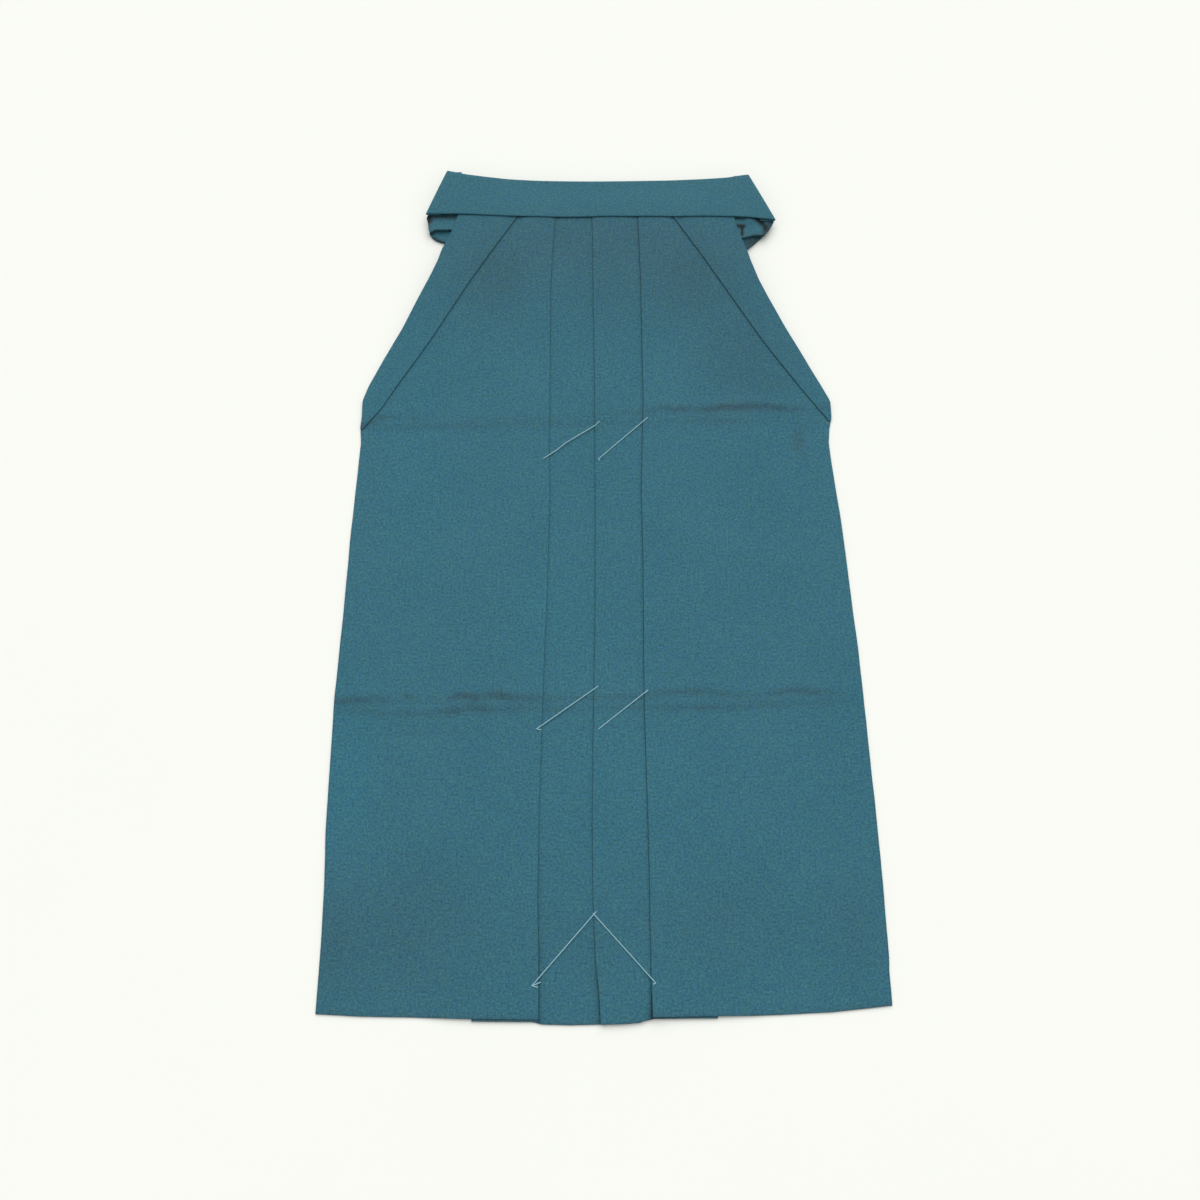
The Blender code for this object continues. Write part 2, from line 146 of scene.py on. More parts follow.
def places(start, end, count, cut_start=False, cut_end=False):
    """count + 1 places from start to end, and one more just inside each end that is a cut edge."""
    made = [start + (end - start) * number / count for number in range(count + 1)]
    inwards = math.copysign(min(EDGE, 0.5 * abs(end - start) / count), end - start)
    if cut_start:
        made.insert(1, start + inwards)
    if cut_end:
        made.insert(-1, end - inwards)
    return made


def runs(points):
    """How far each point of a line is from its start, along the line."""
    made = [0.0]
    for before, here in zip(points, points[1:]):
        made.append(made[-1] + (here - before).length)
    return made


def put(name, data):
    """A new object in the scene."""
    made = bpy.data.objects.new(name, data)
    bpy.context.scene.collection.objects.link(made)
    return made


def built(maker, name, finish):
    """The piece that a bmesh was shaped into, in its finish."""
    mesh = bpy.data.meshes.new(name)
    maker.to_mesh(mesh)
    maker.free()
    mesh.materials.append(finish)
    return put(name, mesh)


def feed(tree, made, inputs):
    """Gives a shader node's sockets their values, each of which may be another node's output to join."""
    for socket, value in inputs:
        if isinstance(value, bpy.types.NodeSocket):
            tree.links.new(value, made.inputs[socket])
        else:
            made.inputs[socket].default_value = value


def node(tree, kind, inputs=(), **settings):
    """A shader node with its settings and its inputs."""
    made = tree.nodes.new(kind)
    for name, value in settings.items():
        setattr(made, name, value)
    feed(tree, made, inputs)
    return made


def calc(tree, operation, first, second=0.0):
    return node(tree, "ShaderNodeMath", [(0, first), (1, second)], operation=operation).outputs[0]


def plus(tree, base, value, share):
    """The base and a share of the value."""
    return calc(tree, "ADD", base, calc(tree, "MULTIPLY", value, share))


def vector_calc(tree, operation, first, second):
    socket = "Scale" if operation == "SCALE" else 1
    inputs = [(0, first), (socket, second)]
    return node(tree, "ShaderNodeVectorMath", inputs, operation=operation).outputs[0]


def streaks(tree, place, scale, detail=2.0):
    """Noise over a place, which may be stretched beforehand, centred on nought."""
    made = node(tree, "ShaderNodeTexNoise", [("Vector", place), ("Scale", scale), ("Detail", detail)])
    return calc(tree, "SUBTRACT", made.outputs["Fac"], 0.5)


SHADE_AND_TONE_TINT = (-0.15, 1.0, 1.05)     # how much of its red, green and blue the cloth loses under its tinted painted shade and tone
WARP_RUN, WEFT_RUN = (1.0, 0.04, 1.0), (0.05, 1.0, 1.0)      # uneven yarn runs on along its own thread
YARN_FINE, YARN_HEATHER = 0.7, 0.5    # each unevenness is finer where its number is larger
GRAIN_FINE, GRAIN_HEATHER = 420.0, 1.6
PATCH_FINE, PATCH_ROUGH = 11.0, -0.2
BROKEN_FINE, BROKEN = 170.0, 1.6      # the tinted painted shade and tone lies unevenly
MINGLED = ((260.0, 2.2), (90.0, 1.8))     # fineness and strength with which warp and weft mingle
WEAVE_HIGH, GRAIN_HIGH = 0.35, 1.2    # beside the height of the yarn's own unevenness


def plain_weave():
    """Node group: warp and weft threads, the heather of the yarn, slow patches, painted shade, and tinted
    painted shade and tone.
    """
    tree = bpy.data.node_groups.new("plain_weave", "ShaderNodeTree")
    for way, kind, names in (("INPUT", "Vector", "Place"), ("INPUT", "Color", "Warp Weft"),
                             ("INPUT", "Float", "Threads Heather Patches Shade Pressed Roughness"),
                             ("OUTPUT", "Color", "Color"), ("OUTPUT", "Float", "Roughness Height")):
        for name in names.split():
            tree.interface.new_socket(name, in_out=way, socket_type="NodeSocket" + kind)
    given = node(tree, "NodeGroupInput").outputs
    place = given["Place"]
    threads = vector_calc(tree, "SCALE", place, given["Threads"])
    apart = node(tree, "ShaderNodeSeparateXYZ", [(0, threads)]).outputs
    warp = streaks(tree, vector_calc(tree, "MULTIPLY", threads, WARP_RUN), YARN_FINE)
    weft = streaks(tree, vector_calc(tree, "MULTIPLY", threads, WEFT_RUN), YARN_FINE)
    across = calc(tree, "SINE", calc(tree, "MULTIPLY", apart["X"], math.pi))
    along = calc(tree, "SINE", calc(tree, "MULTIPLY", apart["Y"], math.pi))
    over_under = calc(tree, "MULTIPLY", across, along)
    yarn = calc(tree, "ADD", warp, weft)
    grain = streaks(tree, place, GRAIN_FINE, 3.0)
    patch = streaks(tree, place, PATCH_FINE, 4.0)
    heather = plus(tree, calc(tree, "MULTIPLY", grain, GRAIN_HEATHER), yarn, YARN_HEATHER)
    brightness = plus(tree, 1.0, heather, given["Heather"])
    brightness = plus(tree, brightness, patch, given["Patches"])
    # painted shade darkens the colour evenly
    brightness = calc(tree, "MULTIPLY", brightness, calc(tree, "SUBTRACT", 1.0, given["Shade"]))
    share = 0.5
    for fine, strength in MINGLED:
        share = plus(tree, share, streaks(tree, place, fine), strength)
    mixed = node(tree, "ShaderNodeMix", [(0, share), (6, given["Warp"]), (7, given["Weft"])],
                 data_type="RGBA")
    broken = plus(tree, 1.0, streaks(tree, place, BROKEN_FINE), BROKEN)
    # tinted painted shade and tone: green and blue darken more than red
    shade_and_tone = vector_calc(tree, "SCALE", SHADE_AND_TONE_TINT, calc(tree, "MULTIPLY", given["Pressed"], broken))
    kept = vector_calc(tree, "SUBTRACT", (1.0, 1.0, 1.0), shade_and_tone)
    colour = vector_calc(tree, "MULTIPLY", mixed.outputs[2], kept)
    colour = vector_calc(tree, "SCALE", colour, brightness)
    rough = plus(tree, given["Roughness"], patch, PATCH_ROUGH)
    height = plus(tree, plus(tree, yarn, over_under, WEAVE_HIGH), grain, GRAIN_HIGH)
    node(tree, "NodeGroupOutput", [("Color", colour), ("Roughness", rough), ("Height", height)])
    return tree


def new_finish(name):
    """A new material with its node tree and the node of its surface."""
    finish = bpy.data.materials.new(name)
    finish.use_nodes = True
    return finish, finish.node_tree, finish.node_tree.nodes["Principled BSDF"]


def cloth_finish(name, warp, weft, threads=2100.0, heather=0.9, patches=0.12, roughness=0.78):
    """A woven cloth: the weave group on the piece's own measures, with a faint nap."""
    finish, tree, skin = new_finish(name)
    place = node(tree, "ShaderNodeUVMap", uv_map="measures").outputs[0]
    # painted shade, and tinted painted shade with patches of tone, from the pieces' two attributes
    shade = node(tree, "ShaderNodeAttribute", attribute_name="shade").outputs["Fac"]
    shade_and_tone_input = node(tree, "ShaderNodeAttribute", attribute_name="pressed").outputs["Fac"]
    weave = node(tree, "ShaderNodeGroup",
                 [("Place", place), ("Shade", shade), ("Pressed", shade_and_tone_input), ("Warp", warp), ("Weft", weft),
                  ("Threads", threads), ("Heather", heather), ("Patches", patches),
                  ("Roughness", roughness)],
                 node_tree=WEAVE)
    relief = node(tree, "ShaderNodeBump", [("Height", weave.outputs["Height"]), ("Strength", 0.35),
                                           ("Distance", 0.0002)])
    feed(tree, skin, [("Base Color", weave.outputs["Color"]), ("Roughness", weave.outputs["Roughness"]),
                      ("Normal", relief.outputs["Normal"]), ("Specular IOR Level", 0.25),
                      ("Sheen Weight", 0.12), ("Sheen Roughness", 0.45),
                      ("Sheen Tint", (0.55, 0.80, 0.85, 1.0))])
    return finish


def cloth_piece(name, rows, thickness, finish, from_column=0, shade=None):
    """A thin closed shell about a grid of points, one list of points for each row of the cloth.

    Its measures are kept as a UV map in metres: across the cloth from one of its columns, which is a
    pleat where it has one, and up its rows. shade gives two depths for a point: painted shade where it
    runs in under a fold, lies under other layers or in a tie's hollow, and a tinted painted shade along
    hems, creases and the ties' hollows, with patches of darker or lighter tone.
    """
    columns = len(rows[0])
    maker = bmesh.new()
    bmesh.ops.create_grid(maker, x_segments=columns - 1, y_segments=len(rows) - 1, size=1.0)
    maker.verts.ensure_lookup_table()
    measures = maker.loops.layers.uv.new("measures")
    # the shade layer holds painted shade; the pressed layer tinted painted shade with patches of tone
    shades = maker.verts.layers.float.new("shade")
    shades_and_tones = maker.verts.layers.float.new("pressed")
    spots = []
    for row, up in zip(rows, runs([row[from_column] for row in rows])):
        across = runs(row)
        spots += [(run - across[from_column], up) for run in across]
    for index, vertex in enumerate(maker.verts):
        point = rows[index // columns][index % columns]
        vertex.co = point + SHIFT
        vertex[shades], vertex[shades_and_tones] = shade(point) if shade else (0.0, 0.0)
    for face in maker.faces:
        face.smooth = True
        for loop in face.loops:
            loop[measures].uv = spots[loop.vert.index]
    piece = built(maker, name, finish)
    thick = piece.modifiers.new("thickness", "SOLIDIFY")
    thick.thickness = thickness
    thick.offset = 0.0
    thick.use_even_offset = True
    return piece


def lay_cloth(name, rows, wall, finish, from_column=0, shade=None):
    """A node's cloth, with what it rides on and the part it stands for, which it hides."""
    piece = cloth_piece(name + "_cloth", rows, wall, finish, from_column, shade)
    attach(piece, "root")
    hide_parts(name)
    return piece


WEAVE = plain_weave()
TEAL_WARP = (0.0298, 0.1290, 0.1940, 1.0)
TEAL_WEFT = (0.0357, 0.1443, 0.1777, 1.0)
panel_finish = cloth_finish("teal_polyester", TEAL_WARP, TEAL_WEFT)


def back_rows(side):
    """The grid of a back panel, hem to waist, from the middle seam out to the side."""
    out = SIGN[side]
    rows = []
    for y in places(0.0, BACK_TOP, BACK_ROWS, True, True):
        hidden_by = BACK_INSET if y < SLIT[side] else 2 * SIDE_INSET
        across = places(out * CLEAR / 2, side_edge(side, y) - out * hidden_by, BACK_COLUMNS, True, True)
        hems = [read(OUTER_HEM, "y", x, "x") + BACK_HEM_LIFT for x in across]
        rows.append([Vector((x, hemmed(y, hem), CLOTH / 2)) for x, hem in zip(across, hems)])
    return rows


for side in ("left", "right"):
    lay_cloth("back_" + side, back_rows(side), CLOTH, panel_finish)


# ---- Gusset --------------------------------------------
# A diamond of the same cloth set between the legs at the crotch, so that they part when the wearer
# strides. It lies between the back and the front and lifts the front a little.

GUSSET_LOW, GUSSET_WIDE, GUSSET_HIGH = 0.38, 0.50, 0.60
GUSSET_HALF = 0.045
GUSSET_TIP = 0.003       # its points are turned in, so they are this wide
GUSSET_COLUMNS, GUSSET_ROWS = 8, 24


def gusset_rows():
    rows = []
    for y in places(GUSSET_LOW, GUSSET_HIGH, GUSSET_ROWS, True, True):
        reach = GUSSET_WIDE - GUSSET_LOW if y < GUSSET_WIDE else GUSSET_HIGH - GUSSET_WIDE
        half = max(GUSSET_TIP / 2, GUSSET_HALF * (1.0 - abs(y - GUSSET_WIDE) / reach))
        rows.append([Vector((x, y, CLOTH / 2 + PITCH)) for x in places(-half, half, GUSSET_COLUMNS)])
    return rows


lay_cloth("gusset", gusset_rows(), CLOTH, panel_finish, GUSSET_COLUMNS // 2)


# ---- Front panels --------------------------------------
# Each front is one wide length of cloth pressed into a deep knife pleat, with its inner part running on
# under the middle; the right one's turned edge lies over the left one's lap and makes the centre fold.
# Two hard creases cross them where the garment was folded in three, with the smaller dents of packing.

PANEL_TOP = 0.922        # upper edge, tucked under the band
CENTRE_LAP = 0.022       # hidden lap of both panels under the centre fold
LAP_CLEAR = 0.004        # the strip stays level this far past the lap
RAMP_WAIST = 0.024       # stretch over which a panel sinks from its pleat to the back panel
RAMP_HEM = 0.060
RAMP_START = 0.003
WAIST_RISE = 0.0083      # how far the folded ties lift the front at the waist
RISE_FROM, RISE_TO = 0.700, 0.885
GUSSET_SPREAD, GUSSET_SOFT = 0.16, 0.01      # the front comes down to the back this far from the middle
GUSSET_RISE, GUSSET_FALL = (0.12, 0.30), (0.66, 0.80)
EASE = 0.0004            # slack that keeps the front from lying dead flat
EASE_WIDE, EASE_CLOSE, EASE_CLOSE_SHARE = (13.0, 8.0), (31.0, 22.0), 0.4
EASE_TOP, EASE_FADE = 0.86, 0.08     # there is none where the band holds the cloth
LOWEST = -0.0002         # and no dent presses the layers below flatter than this
FOLD_POINTS = 6
LAP_COLUMNS, RIGHT_LAP_COLUMNS, STRIP_COLUMNS, HIDDEN_COLUMNS, RETURN_COLUMNS = 4, 4, 11, 9, 9
OUTER_COLUMNS, SIDE_COLUMNS = 40, 7      # of the outer layer, up to the slanted side pleat and beyond it
TUCK = (0.0040, 0.0014, 0.0003, -0.0012)     # closer columns where a layer runs in under a folded edge
LIP = (0.0008, 0.0022, 0.0050)   # and closer columns just behind a folded edge that shows
TURN = PITCH / 2         # a fold turns this far inside its own edge
PINCH, PINCH_REACH = 0.00015, 0.0016     # a folded edge presses this far into the layer under it
FLAT, FLAT_REACH = 0.5, 0.012    # layers lie this much flatter at their folded edge, out to this far
FIRST_ROW, ROW_STEP = 0.003, 0.006
FINE_ROWS = [(0.304, 0.348, 0.0016), (0.632, 0.688, 0.0016), (0.904, 0.914, 0.0014)]

# Hems of the hidden layers behind a pleat, and of the strip in the middle with its hidden parts
RETURN_HEM = listed(
    "x y",
    (-0.130, 0.0042), (-0.064, 0.0036), (0.054, 0.0068), (0.119, 0.0072),
)
STRIP_HEM = listed(
    "x y",
    (-0.130, 0.0042), (-0.068, 0.0038), (-0.060, 0.0013), (-0.030, 0.0005), (0.000, 0.0012),
    (0.027, 0.0020), (0.0405, 0.0030), (0.0425, 0.0043), (0.056, 0.0070), (0.119, 0.0074),
)

# Folded edges of the knife pleats; left_under and right_under are the hidden folds behind them
PLEATS = listed(
    "y left centre right left_under right_under",
    (0.000, -0.0624, 0.0002, 0.0526, -0.1300, 0.1185), (0.030, -0.0628, -0.0012, 0.0521, -0.1280, 0.1170),
    (0.065, -0.0634, -0.0051, 0.0517, -0.1255, 0.1152), (0.120, -0.0650, -0.0072, 0.0512, -0.1224, 0.1122),
    (0.200, -0.0650, -0.0084, 0.0501, -0.1180, 0.1078), (0.330, -0.0624, -0.0070, 0.0473, -0.1108, 0.1005),
    (0.440, -0.0593, -0.0055, 0.0476, -0.1047, 0.0944), (0.560, -0.0573, -0.0055, 0.0464, -0.0981, 0.0880),
    (0.680, -0.0587, -0.0063, 0.0494, -0.0914, 0.0816), (0.820, -0.0588, -0.0082, 0.0478, -0.0837, 0.0748),
    (0.922, -0.0545, -0.0096, 0.0450, -0.0780, 0.0700),
)
HEM_WAVER, PRESS_WAVER = (11.0, 0.0004), (41.0, 0.0004)
SLANT_WAVER = {"left": (50.0, 0.0005), "right": (52.0, 0.0005)}
PLEAT_WAVER = {"left": (21.0, 0.0007), "centre": (23.0, 0.0006), "right": (27.0, 0.0008),
               "left_under": (31.0, 0.0010), "right_under": (33.0, 0.0010)}

# How far a pleat stands open at the hem, up to which height, and how far the lift reaches from its edge,
# with how dark the painted shade is on the cloth just beneath its edge, further up and at the hem
Gape = namedtuple("Gape", "lift height reach dark hem_dark")
GAPES = {
    "left": Gape(0.0004, 0.220, 0.014, 0.18, 0.47),
    "centre": Gape(0.0016, 0.115, 0.016, 0.25, 0.55),
    "right": Gape(0.0024, 0.060, 0.016, 0.40, 1.05),
}

# Inner folded edge of the slanted side pleats
SLANTS = listed(
    "y left right",
    (0.647, -0.2723, 0.2700), (0.657, -0.2640, 0.2625), (0.671, -0.2531, 0.2514),
    (0.704, -0.2332, 0.2277), (0.758, -0.1983, 0.1893), (0.809, -0.1680, 0.1561),
    (0.834, -0.1528, 0.1401), (0.864, -0.1337, 0.1214), (0.922, -0.0963, 0.0842),
)
SIDE_PLEAT_FOOT = 0.0034     # width of a side pleat at the foot of the opening
INSET_MOST = 0.35        # of its width, for the layer beneath it

# The pressed creases. Each is a soft rise on the waist side and a short steep fall on the hem side,
# which runs along its stations and is as high there as height says
PRESSES = [
    listed("x y height",
           (-0.2833, 0.3340, 0.0006), (-0.2672, 0.3356, 0.0008), (-0.2349, 0.3362, 0.0007),
           (-0.2219, 0.3351, 0.0002), (-0.1940, 0.3356, 0.0003), (-0.1659, 0.3351, 0.0003),
           (-0.1585, 0.3395, 0.0008), (-0.1488, 0.3406, 0.0010), (-0.1337, 0.3378, 0.0009),
           (-0.1122, 0.3417, 0.0010), (-0.0970, 0.3378, 0.0009), (-0.0636, 0.3373, 0.0005),
           (-0.0431, 0.3384, 0.0003), (0.0151, 0.3389, 0.0004), (0.0442, 0.3389, 0.0004),
           (0.0788, 0.3438, 0.0005), (0.1080, 0.3449, 0.0006), (0.1381, 0.3417, 0.0006),
           (0.1672, 0.3400, 0.0003), (0.1932, 0.3447, 0.0007), (0.2127, 0.3466, 0.0007),
           (0.2310, 0.3447, 0.0006), (0.2697, 0.3417, 0.0001)),
    listed("x y height",
           (-0.2828, 0.3253, 0.0002), (-0.2537, 0.3231, 0.0003), (-0.2213, 0.3204, 0.0004),
           (-0.1902, 0.3210, 0.0005), (-0.1623, 0.3231, 0.0007), (-0.1420, 0.3264, 0.0008),
           (-0.1237, 0.3264, 0.0007), (-0.1118, 0.3236, 0.0004), (-0.0990, 0.3264, 0.0005),
           (-0.0634, 0.3253, 0.0003), (0.0000, 0.3264, 0.0002), (0.0495, 0.3268, 0.0004),
           (0.1076, 0.3277, 0.0005), (0.1452, 0.3277, 0.0004), (0.1938, 0.3313, 0.0004),
           (0.2369, 0.3324, 0.0003), (0.2585, 0.3329, 0.0001)),
    listed("x y height",
           (-0.2737, 0.6530, 0.0006), (-0.2654, 0.6584, 0.0007), (-0.2491, 0.6651, 0.0006),
           (-0.2330, 0.6647, 0.0002), (-0.2066, 0.6641, 0.0002), (-0.1767, 0.6633, 0.0001),
           (-0.0964, 0.6616, 0.0002), (-0.0631, 0.6616, 0.0002), (0.0000, 0.6666, 0.0001),
           (0.0534, 0.6703, 0.0004), (0.0736, 0.6746, 0.0006), (0.1075, 0.6735, 0.0007),
           (0.1242, 0.6740, 0.0008), (0.1415, 0.6771, 0.0010), (0.1714, 0.6777, 0.0010),
           (0.1876, 0.6784, 0.0009), (0.2013, 0.6765, 0.0008), (0.2289, 0.6752, 0.0006),
           (0.2392, 0.6746, 0.0002)),
    listed("x y height",
           (-0.2735, 0.6493, 0.0001), (-0.2364, 0.6517, 0.0003), (-0.1793, 0.6536, 0.0004),
           (-0.0916, 0.6542, 0.0002), (0.0459, 0.6579, 0.0002), (0.1147, 0.6604, 0.0003),
           (0.1376, 0.6604, 0.0004), (0.1606, 0.6604, 0.0003), (0.1835, 0.6604, 0.0001)),
]
PRESS_RISE, PRESS_FALL = 0.014, 0.0065
FADED = 3.0              # a crease's shade or a dent has faded out at this many half widths
PRESS_FULL = 0.0009      # a crease this high is as dark as a crease gets
# painted shade along each crease's steep fall, which faces the hem and away from the light
PRESS_DARK, PRESS_DARK_REACH = 0.24, 0.0055

# Smaller dents and ridges, from one place to another, with the height and half width of each
DENTS = listed(
    "from_x from_y to_x to_y height half_width",
    (0.2388, 0.6460, 0.2161, 0.6180, -0.0009, 0.0060), (0.2450, 0.6300, 0.2330, 0.6060, 0.0005, 0.0070),
    (0.2300, 0.5720, 0.2200, 0.5560, -0.0004, 0.0070), (-0.0880, 0.2900, -0.0670, 0.3070, -0.0006, 0.0028),
    (-0.2280, 0.2984, -0.1474, 0.2941, -0.0006, 0.0060), (-0.1311, 0.0100, -0.1352, 0.1250, 0.0004, 0.0026),
    (-0.1960, 0.4100, -0.0900, 0.4550, 0.0005, 0.0140), (0.0850, 0.5300, 0.2050, 0.4800, 0.0005, 0.0150),
    (-0.2600, 0.0900, -0.1800, 0.1900, 0.0005, 0.0160), (0.1300, 0.0700, 0.2300, 0.1500, 0.0006, 0.0160),
    (0.1650, 0.2450, 0.2600, 0.2050, 0.0004, 0.0130), (-0.2350, 0.5600, -0.1500, 0.6000, 0.0004, 0.0120),
    (-0.1750, 0.7000, -0.1250, 0.8200, 0.0005, 0.0110), (0.1150, 0.7050, 0.0950, 0.8150, 0.0005, 0.0110),
    (-0.0640, 0.6090, -0.0600, 0.6115, -0.0003, 0.0030), (0.0540, 0.6590, 0.0570, 0.6610, -0.0003, 0.0030),
    (-0.0680, 0.0390, -0.0640, 0.0420, -0.0004, 0.0035), (0.0560, 0.0410, 0.0590, 0.0390, -0.0004, 0.0035),
)


def pleat_edge(name, y):
    return read(PLEATS, name, y) + waver(y, *PLEAT_WAVER[name])


def bell(away):
    """1 on an edge, falling away to nothing on both sides of it."""
    return math.exp(-away * away)


def off_press(press, x, y):
    """How far a place is from a pressed crease, towards the waist."""
    return y - read(press, "y", x, "x") - waver(x, *PRESS_WAVER)


def off_line(mark, x, y):
    """How far a place is from a dent or mark, in half widths and squared."""
    run_x, run_y = mark.to_x - mark.from_x, mark.to_y - mark.from_y
    share = ((x - mark.from_x) * run_x + (y - mark.from_y) * run_y) / (run_x ** 2 + run_y ** 2)
    share = clamp(share)
    off_x, off_y = x - mark.from_x - share * run_x, y - mark.from_y - share * run_y
    return (off_x ** 2 + off_y ** 2) / mark.half_width ** 2


def off_patch(patch, x, y):
    """How far a place is from the middle of an oval patch, in half sizes and squared."""
    return ((x - patch.x) / patch.half_width) ** 2 + ((y - patch.y) / patch.half_height) ** 2


def pressed(x, y):
    height = 0.0
    for press in PRESSES:
        away = off_press(press, x, y)
        if -PRESS_FALL < away < PRESS_RISE:
            profile = smooth(-PRESS_FALL, 0.0, away) * (1.0 - smooth(0.0, PRESS_RISE, away))
            height += read(press, "height", x, "x") * profile
    return height


def dented(x, y):
    height = 0.0
    for dent in DENTS:
        away = off_line(dent, x, y)
        if away < FADED ** 2:
            height += dent.height * math.exp(-away)
    return height


def eased(x, y):
    wide = bumpy(x * EASE_WIDE[0], y * EASE_WIDE[1], 3.0)
    close = bumpy(x * EASE_CLOSE[0], y * EASE_CLOSE[1], 9.0)
    return EASE * (1.0 + (wide + EASE_CLOSE_SHARE * close))


def common_lift(x, y):
    """Height that all front layers share: the gusset, the ties at the waist, the creases and the slack."""
    over_gusset = 1.0 - smooth(GUSSET_HALF + GUSSET_SOFT, GUSSET_SPREAD, abs(x))
    over_gusset *= smooth(*GUSSET_RISE, y) * (1.0 - smooth(*GUSSET_FALL, y))
    soft = max(LOWEST, eased(x, y) + dented(x, y)) * (1.0 - smooth(EASE_TOP - EASE_FADE, EASE_TOP, y))
    return PITCH * over_gusset + WAIST_RISE * smooth(RISE_FROM, RISE_TO, y) + pressed(x, y) + soft


def ramp_width(y):
    return RAMP_HEM + (RAMP_WAIST - RAMP_HEM) * y / PANEL_TOP


def settled(levels, edge, x):
    """Layers of a pleat, which lie flatter where they were pressed along its folded edge."""
    return levels * (1.0 - FLAT * bell((x - edge) / FLAT_REACH))


def strip_level(side, x, y):
    """Layers beneath the centre strip: the right half starts on the left half's lap."""
    if side == "left":
        return 1.0
    centre, end = read(PLEATS, "centre", y), read(PLEATS, "right_under", y)
    start = centre + CENTRE_LAP + LAP_CLEAR
    return 1.0 + settled(2.0 - 2.0 * clamp((x - start) / (end - start)), centre, x)


def outer_level(side, x, y):
    """Layers beneath the outer layer: two over the pleat, then down to the back panel."""
    start = abs(read(PLEATS, side + "_under", y)) + RAMP_START
    folded = 2.0 - 2.0 * smooth(start, start + ramp_width(y), abs(x))
    return strip_level(side, x, y) + settled(folded, read(PLEATS, side, y), x)


def gape(name, x, y):
    opening = GAPES[name]
    near = bell((x - pleat_edge(name, y)) / opening.reach)
    return opening.lift * (1.0 - smooth(0.0, opening.height, y)) * near


def middle_z(level, x, y):
    return CLOTH / 2 + PITCH * level + common_lift(x, y)


def station(x, y, hems, level, lift=0.0):
    """A point of a front layer: x across, a row's height y, its table of hems and the layers beneath it."""
    height = hemmed(y, read(hems, "y", x, "x") + waver(x, *HEM_WAVER))
    return Vector((x, height, middle_z(level, x, height) + lift))


def fold(low, high, facing):
    """Points round a pressed fold, from the end of the layer below to the start of the layer above."""
    middle, reach = (low + high) / 2, (high.z - low.z) / 2
    points = []
    for number in range(1, FOLD_POINTS):
        angle = math.pi * (number / FOLD_POINTS - 0.5)
        points.append(middle + Vector((facing * PITCH / 2 * math.cos(angle), 0.0, reach * math.sin(angle))))
    return points


def zigzag(facing, *layers):
    """A row of cloth through layers folded to and fro; facing is the side of the first fold, -1 or 1."""
    row = list(layers[0])
    for layer in layers[1:]:
        row += fold(row[-1], layer[0], facing) + layer
        facing = -facing
    return row


def front_heights():
    """Heights of a front's rows, close together along the hem and through the creases."""
    heights = [0.0, EDGE, FIRST_ROW]
    while heights[-1] < PANEL_TOP - ROW_STEP:
        step = ROW_STEP
        for low, high, fine in FINE_ROWS:
            if low <= heights[-1] < high:
                step = fine
        heights.append(heights[-1] + step)
    return heights[:-1] + [PANEL_TOP - EDGE, PANEL_TOP]


def stretch(*stops):
    """Places across from the first stop; each further stop is (end, count of columns up to it)."""
    made = [stops[0]]
    for end, count in stops[1:]:
        made += places(made[-1], end, count)[1:]
    return made


def lip(edge, out):
    """Stops for the closer columns of a layer behind its own folded edge."""
    return [(edge + out * reach, 1) for reach in LIP]


def tucked_in(edge, facing, columns, reaches=TUCK):
    """Stops of a layer that runs in under a folded edge: so many columns up to it, then closer ones."""
    stops = [(edge + facing * reach, 1) for reach in reaches]
    return [(stops[0][0], columns)] + stops[1:]


def slant_edge(side, y):
    """The slanted fold of the side pleat, which keeps clear of the side itself at its foot."""
    out, edge = SIGN[side], side_edge(side, y)
    slant = read(SLANTS, side, y) + waver(y, *SLANT_WAVER[side])
    return edge - out * max(SIDE_PLEAT_FOOT, out * (edge - slant))


def outer_places(side, pleat, y):
    """Where the layer that shows has its points, from its pleat out to the side."""
    out, edge, slant = SIGN[side], side_edge(side, y), slant_edge(side, y)
    if y > SLIT[side]:
        edge -= out * min(SIDE_INSET, INSET_MOST * abs(edge - slant))
    return stretch(pleat, *lip(pleat, out), *tucked_in(slant, -out, OUTER_COLUMNS), (edge, SIDE_COLUMNS))


def pinch(edge, x):
    return -PINCH * bell((x - edge) / PINCH_REACH)


def slant_pinch(side, x, y):
    return pinch(slant_edge(side, y), x) if y > SLIT[side] else 0.0


def return_layer(side, under, pleat, y):
    """The hidden layer of a knife pleat, from its inner fold to its folded edge."""
    edge = pleat_edge(side, y)
    return [station(x, y, RETURN_HEM, strip_level(side, x, y) + settled(1.0, edge, x))
            for x in places(under, pleat, RETURN_COLUMNS)]


def outer_layer(side, pleat, y):
    """The layer that shows, from its folded edge out to the side."""
    layer = []
    for x in outer_places(side, pleat, y):
        lift = gape(side, x, y) + slant_pinch(side, x, y)
        layer.append(station(x, y, OUTER_HEM, outer_level(side, x, y), lift))
    return layer


def front_left_row(y):
    centre, left = pleat_edge("centre", y), pleat_edge("left", y)
    under, pleat = pleat_edge("left_under", y) + TURN, left - TURN
    strip = []
    for x in stretch(centre + CENTRE_LAP, *tucked_in(centre, -1, LAP_COLUMNS, TUCK[::-1]),
                     *tucked_in(left, 1, STRIP_COLUMNS), (under, HIDDEN_COLUMNS)):
        strip.append(station(x, y, STRIP_HEM, 1.0, pinch(centre, x) + pinch(left, x)))
    return zigzag(-1, strip, return_layer("left", under, pleat, y), outer_layer("left", pleat, y))


